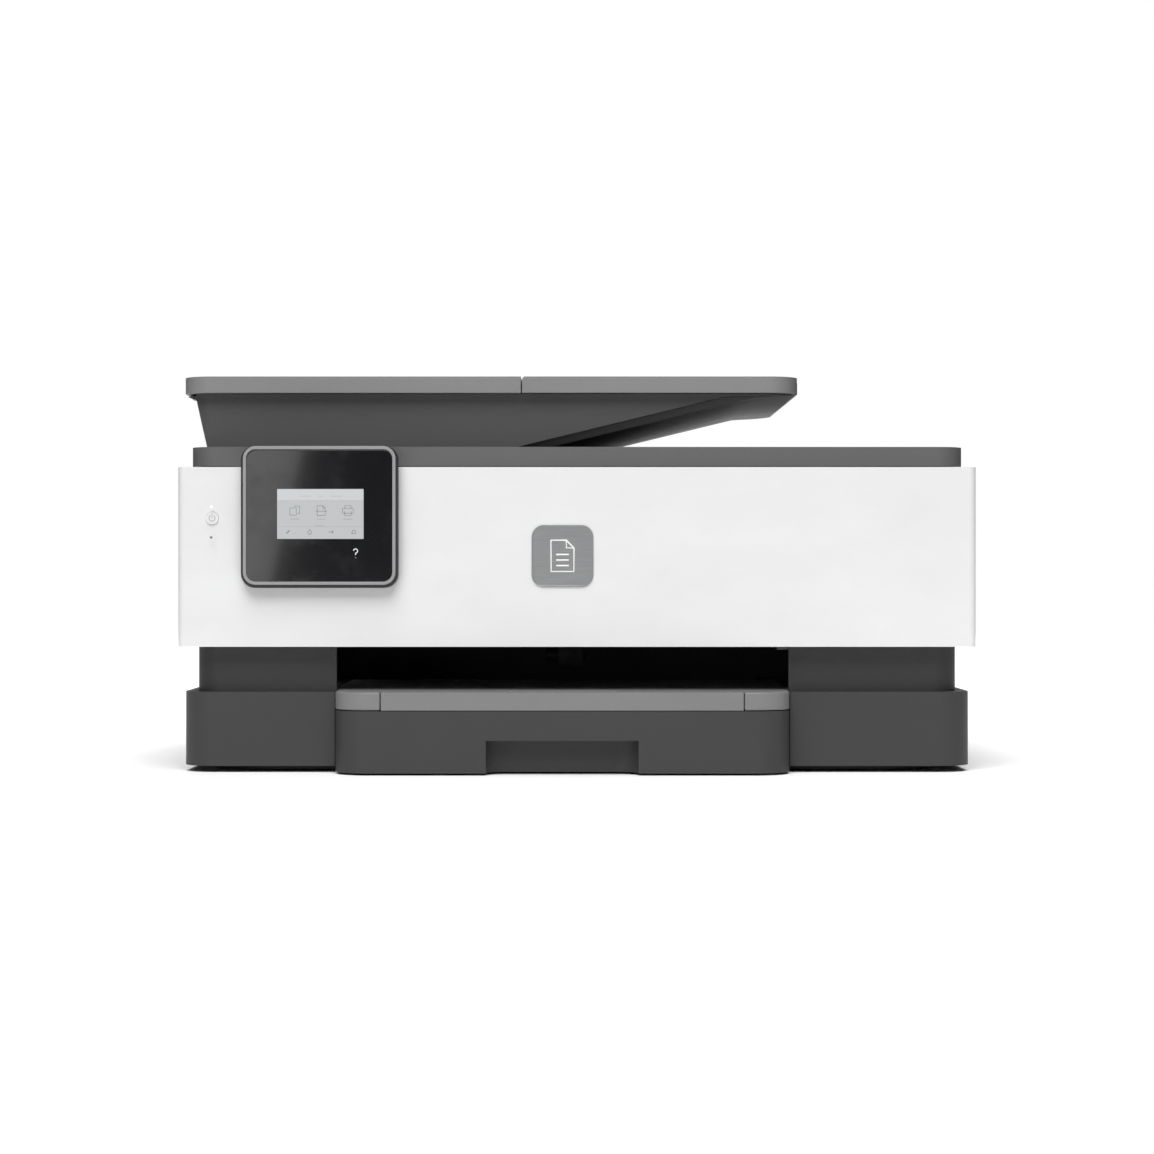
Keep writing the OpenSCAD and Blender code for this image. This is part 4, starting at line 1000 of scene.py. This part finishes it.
class PRINTER_OT_cartridges(bpy.types.Operator):
    """Make the four ink cartridges, the carriage's marks and its blank label"""
    bl_idname = "printer.cartridges"
    bl_label = "Ink cartridges"

    def execute(self, context):
        black, first, *others = INKS
        pieces = {black: self.cartridge(black), first: self.cartridge(first)}
        for node in others:
            offset = X * (span(node)[0][0] - span(first)[0][0]) * MM
            pieces[node] = [twin(piece, piece.name.replace(first, node), offset)
                            for piece in pieces[first]]
        for node, (tank, grip, label) in pieces.items():
            place(tank, node, "ink_black", stands_for=True)
            place(grip, node, INKS[node])
            place(label, node, "label")
        self.carriage_marks()
        return {"FINISHED"}

    def cartridge(self, node):
        """Tank, grip with four finger grooves, and blank label."""
        x, y, z = span(node)
        tank = slab(f"{node}_tank", x, y, (z[0], z[1] - 3), 1.2, upright, 0.3)
        grip = slab(f"{node}_grip", (x[0] + 1.5, x[1] - 1.5), (y[0], y[1] - 8),
                    (z[1] - 3.05, z[1]), 1.5, upright)
        groove = slab("grip_groove", (x[0] + 4, x[1] - 4), (y[0] + 3, y[0] + 4.2),
                      (z[1] - 0.7, z[1] + 1), 0.5, upright)
        cut(grip, *row(groove, 4, (0, 2.4, 0)))
        soften(grip, 0.2 * MM)
        label = slab(f"{node}_label", (x[0] + 3, x[1] - 3), (y[1] - 7, y[1] - 1),
                     (z[1] - 3.02, z[1] - 2.9), 0.6, upright)
        return tank, grip, label

    def carriage_marks(self):
        """A round colour mark in front of each cartridge, and a blank label below."""
        x, y, z = span("carriage")
        centres = {node: sum(span(node)[0]) / 2 for node in INKS}
        first = next(iter(INKS))
        at = Vector((centres[first], y[0], z[0] + 37)) * MM
        button = drum(f"{first}_mark", at - Y * 0.35 * MM, at + Y * 0.5 * MM, 2.4 * MM, 32)
        soften(button, 0.12 * MM)
        marks = {first: button}
        for node in list(INKS)[1:]:
            offset = X * (centres[node] - centres[first]) * MM
            marks[node] = twin(button, f"{node}_mark", offset)
        for node, mark in marks.items():
            place(mark, "carriage", INKS[node])
        label = slab("carriage_label", (x[0] + 12, x[0] + 52), (y[0] - 0.1, y[0] + 0.1),
                     (z[0] + 10, z[0] + 26), 1.5, fore_and_aft)
        place(label, "carriage", "label")


class PRINTER_OT_marks(bpy.types.Operator):
    """Make the feeder's cover with its page symbol, and the blank rating plate"""
    bl_idname = "printer.marks"
    bl_label = "Symbols and plates"

    def execute(self, context):
        x, y, z = span("feeder_cover")
        recess_depth, line = 0.3, 0.3
        level = z[1] - recess_depth - 0.2 * line
        left, front = x[1] - 34, y[0] + 34
        recess = slab("feeder_recess", (left - 6, left + 26), (front - 5, front + 21),
                      (z[1] - recess_depth, z[1] + 1), 3, upright)
        cover = cut(moulding("feeder_cover", 1.2), recess)
        place(even(cover), "feeder_cover", "plate", stands_for=True)
        page = [(0, 0), (12, 0), (12, 12), (8, 16), (0, 16)]
        arrow = [(20, 5), (16, 8), (20, 11)]
        shapes = [("feeder_page", page, line, True), ("feeder_arrow", arrow, line, False)]
        shapes += [(f"feeder_row_{dy}", [(3, dy), (9, dy)], 0.28, False) for dy in (4, 7, 10)]
        parts = []
        for name, points, radius, closed in shapes:
            placed = [(left + a, front + b) for a, b in points]
            parts.append(stroke(name, placed, radius, level, closed, "top"))
        place(join("feeder_symbol", *parts), "feeder_cover", "symbol_dark")
        _, back, foot = span("base_shell")
        plate = slab("rating_plate", (20, 96), (back[1] - 0.1, back[1] + 0.12),
                     (foot[0] + 10, foot[0] + 34), 1.5, fore_and_aft)
        place(plate, "base_shell", "label")
        return {"FINISHED"}


class PRINTER_OT_badge(bpy.types.Operator):
    """Make the square badge with its page symbol"""
    bl_idname = "printer.badge"
    bl_label = "Badge"

    def execute(self, context):
        x, y, z = span("badge")
        plate = slab("badge_plate", x, y, z, 7, fore_and_aft)
        sink(plate, lambda at, normal: normal.y < -0.9, 0.7 * MM, 0.15 * MM)
        soften(plate, 0.12 * MM)
        place(plate, "badge", "badge", stands_for=True)
        mid_x, mid_z = (x[0] + x[1]) / 2, (z[0] + z[1]) / 2
        front = y[0] + 0.1
        page = [(mid_x - 6.6, mid_z - 9), (mid_x + 6.6, mid_z - 9), (mid_x + 6.6, mid_z + 4.6),
                (mid_x + 2.2, mid_z + 9), (mid_x - 6.6, mid_z + 9)]
        fold = [(mid_x + 2.2, mid_z + 9), (mid_x + 2.2, mid_z + 4.6), (mid_x + 6.6, mid_z + 4.6)]
        rows = [[(mid_x - 3.6, mid_z + dz), (mid_x + 3.6, mid_z + dz)] for dz in (0.8, -2.4, -5.6)]
        parts = [stroke("badge_page", page, 0.5, front, closed=True),
                 stroke("badge_fold", fold, 0.4, front)]
        parts += [stroke(f"badge_row_{i}", row, 0.45, front) for i, row in enumerate(rows)]
        place(join("badge_symbol", *parts), "badge", "badge_mark")
        return {"FINISHED"}


class PRINTER_OT_front_marks(bpy.types.Operator):
    """Make the power button with its symbol, and the two lamps on the front door"""
    bl_idname = "printer.front_marks"
    bl_label = "Power symbol and lamps"

    def execute(self, context):
        x, y, z = span("power_button")
        mid_x, mid_z = (x[0] + x[1]) / 2, (z[0] + z[1]) / 2
        cap = drum("power_cap", Vector((mid_x, y[0], mid_z)) * MM,
                   Vector((mid_x, y[1] - 1, mid_z)) * MM, 3.72 * MM, 64)
        flange = drum("power_flange", Vector((mid_x, y[1] - 1.2, mid_z)) * MM,
                      Vector((mid_x, y[1], mid_z)) * MM, (x[1] - x[0]) / 2 * MM, 64)
        cap = join("power_cap", cap, flange)
        soften(cap, 0.06 * MM)
        place(cap, "power_button", "white", stands_for=True)
        ring = stroke("power_ring", arc(mid_x, mid_z, 1.7, 125, 415, 24), 0.17, y[0])
        bar = stroke("power_bar", [(mid_x, mid_z + 0.4), (mid_x, mid_z + 2.3)], 0.17, y[0])
        place(join("power_symbol", ring, bar), "power_button", "symbol")
        front = span("front_door")[1][0]
        above, below = 6.4, 11.2
        at = Vector((mid_x, front, mid_z + above)) * MM
        lens = drum("power_lamp", at - Y * 0.12 * MM, at + Y * 1.2 * MM, 0.75 * MM, 24)
        soften(lens, 0.1 * MM)
        other = twin(lens, "network_lamp", Vector((0, 0, -(above + below))) * MM)
        place(lens, "front_door", "lamp_white")
        place(other, "front_door", "lamp_off")
        return {"FINISHED"}


class PRINTER_OT_stage(bpy.types.Operator):
    """Make the floor, the lights and the camera"""
    bl_idname = "printer.stage"
    bl_label = "Stage"

    def execute(self, context):
        s = context.scene.printer_stage
        bpy.ops.object.select_all(action="DESELECT")
        bpy.ops.mesh.primitive_plane_add(size=14, location=(0, 0, 0))
        floor = settle(context.object, "floor")
        paper = Finish("Pale floor")
        soft = paper.noise(3, 3)
        paper.set(Base_Color=paper.blend(soft, (0.96, 0.96, 0.96), (0.98, 0.98, 0.98)),
                  Roughness=0.75 + soft * 0.1, Specular_IOR_Level=0.1)
        floor.data.materials.append(paper.material)
        self.flag("left", -0.62)
        self.flag("right", 0.62)
        self.surroundings(context.scene, s)
        self.daylight("key", (-0.05, -0.55, 0.83), 50, s.key)
        self.softbox("card", (-1.08, -2.6, 0.25), (-0.15, -0.15, 0.15), (1.3, 0.5), s.card, 13)
        self.softbox("top", (0, 0.3, 2.6), (0, 0.1, 0), (2.6, 2.2), s.top)
        self.softbox("back", (0.5, 2.6, 1.9), (0, 0, 0.1), (3.0, 1.4), s.back)
        data = bpy.data.cameras.new("camera")
        data.lens = s.lens
        data.sensor_width = 36
        data.clip_start = 0.01
        camera = bpy.data.objects.new("camera", data)
        camera.location = (0, s.camera_y, s.camera_z)
        camera.rotation_euler = (math.pi / 2, 0, 0)
        context.scene.collection.objects.link(camera)
        context.scene.camera = camera
        context.scene.view_settings.view_transform = "Standard"
        context.scene.view_settings.look = "None"
        return {"FINISHED"}

    def flag(self, side, x):
        """A dark studio card that dims one side and throws no shadow."""
        card = block(f"flag_{side}", (x - 0.005, -1.0, 0.03), (x + 0.005, 0.5, 0.9))
        dark = Finish(f"Dark card {side}")
        tone = dark.noise(40, 2)
        dark.set(Base_Color=dark.blend(tone, (0.01, 0.01, 0.01), (0.014, 0.014, 0.014)),
                 Roughness=0.9, Specular_IOR_Level=0.0)
        card.data.materials.append(dark.material)
        card.visible_camera = False
        card.visible_shadow = False

    def surroundings(self, scene, s):
        """A white backdrop, dimmer as a light and dimmer still in reflections."""
        world = scene.world or bpy.data.worlds.new("World")
        scene.world = world
        world.use_nodes = True
        tree = world.node_tree
        paths = tree.nodes.new("ShaderNodeLightPath")
        seen = Wire(tree, paths.outputs["Is Camera Ray"])
        mirrored = Wire(tree, paths.outputs["Is Glossy Ray"])
        strength = s.sky + seen * (1 - s.sky) + mirrored * (s.sheen - s.sky)
        sky = tree.nodes["Background"]
        sky.inputs["Color"].default_value = (1, 1, 1, 1)
        tree.links.new(strength.socket, sky.inputs["Strength"])

    def daylight(self, name, source, spread, strength):
        """An even soft light from one direction."""
        data = bpy.data.lights.new(name, "SUN")
        data.energy = strength
        data.angle = math.radians(spread)
        lamp = bpy.data.objects.new(name, data)
        lamp.rotation_euler = Vector(source).to_track_quat("Z", "Y").to_euler()
        bpy.context.scene.collection.objects.link(lamp)

    def softbox(self, name, at, aim, size, power, lean=0):
        """A rectangular area light that looks at a point and may lean sideways."""
        data = bpy.data.lights.new(name, "AREA")
        data.shape = "RECTANGLE"
        data.size, data.size_y = size
        data.energy = power
        lamp = bpy.data.objects.new(name, data)
        lamp.location = at
        aimed = (Vector(aim) - Vector(at)).to_track_quat("-Z", "Y").to_matrix()
        lamp.rotation_euler = (Matrix.Rotation(math.radians(lean), 3, "Y") @ aimed).to_euler()
        bpy.context.scene.collection.objects.link(lamp)


OPERATORS = (PRINTER_OT_stage, PRINTER_OT_mouldings, PRINTER_OT_shell, PRINTER_OT_front_door,
             PRINTER_OT_control_panel, PRINTER_OT_badge, PRINTER_OT_front_marks,
             PRINTER_OT_rollers, PRINTER_OT_cartridges, PRINTER_OT_marks)


class PRINTER_PT_panel(bpy.types.Panel):
    """The printer's sizes, colours and building steps"""
    bl_idname = "PRINTER_PT_panel"
    bl_label = "Printer"
    bl_space_type = "VIEW_3D"
    bl_region_type = "UI"
    bl_category = "Printer"

    def draw(self, context):
        scene = context.scene
        for group in (scene.printer_sizes, scene.printer_colours, scene.printer_stage):
            column = self.layout.column(align=True)
            for name in group.__annotations__:
                column.prop(group, name)
        for operator in OPERATORS:
            self.layout.operator(operator.bl_idname)


GROUPS = {"printer_sizes": PrinterSizes, "printer_colours": PrinterColours,
          "printer_stage": PrinterStage}


def register():
    for item in (*GROUPS.values(), *OPERATORS, PRINTER_PT_panel):
        bpy.utils.register_class(item)
    for name, group in GROUPS.items():
        setattr(bpy.types.Scene, name, PointerProperty(type=group))


def unregister():
    for name in GROUPS:
        delattr(bpy.types.Scene, name)
    for item in (PRINTER_PT_panel, *reversed(OPERATORS), *reversed(GROUPS.values())):
        bpy.utils.unregister_class(item)


def run(operator):
    """Calls one of the operators by its idname."""
    group, name = operator.bl_idname.split(".")
    getattr(getattr(bpy.ops, group), name)()


def main():
    register()
    FINISHES.update(make_finishes())
    for operator in OPERATORS:
        run(operator)


if __name__ == "__main__":
    main()
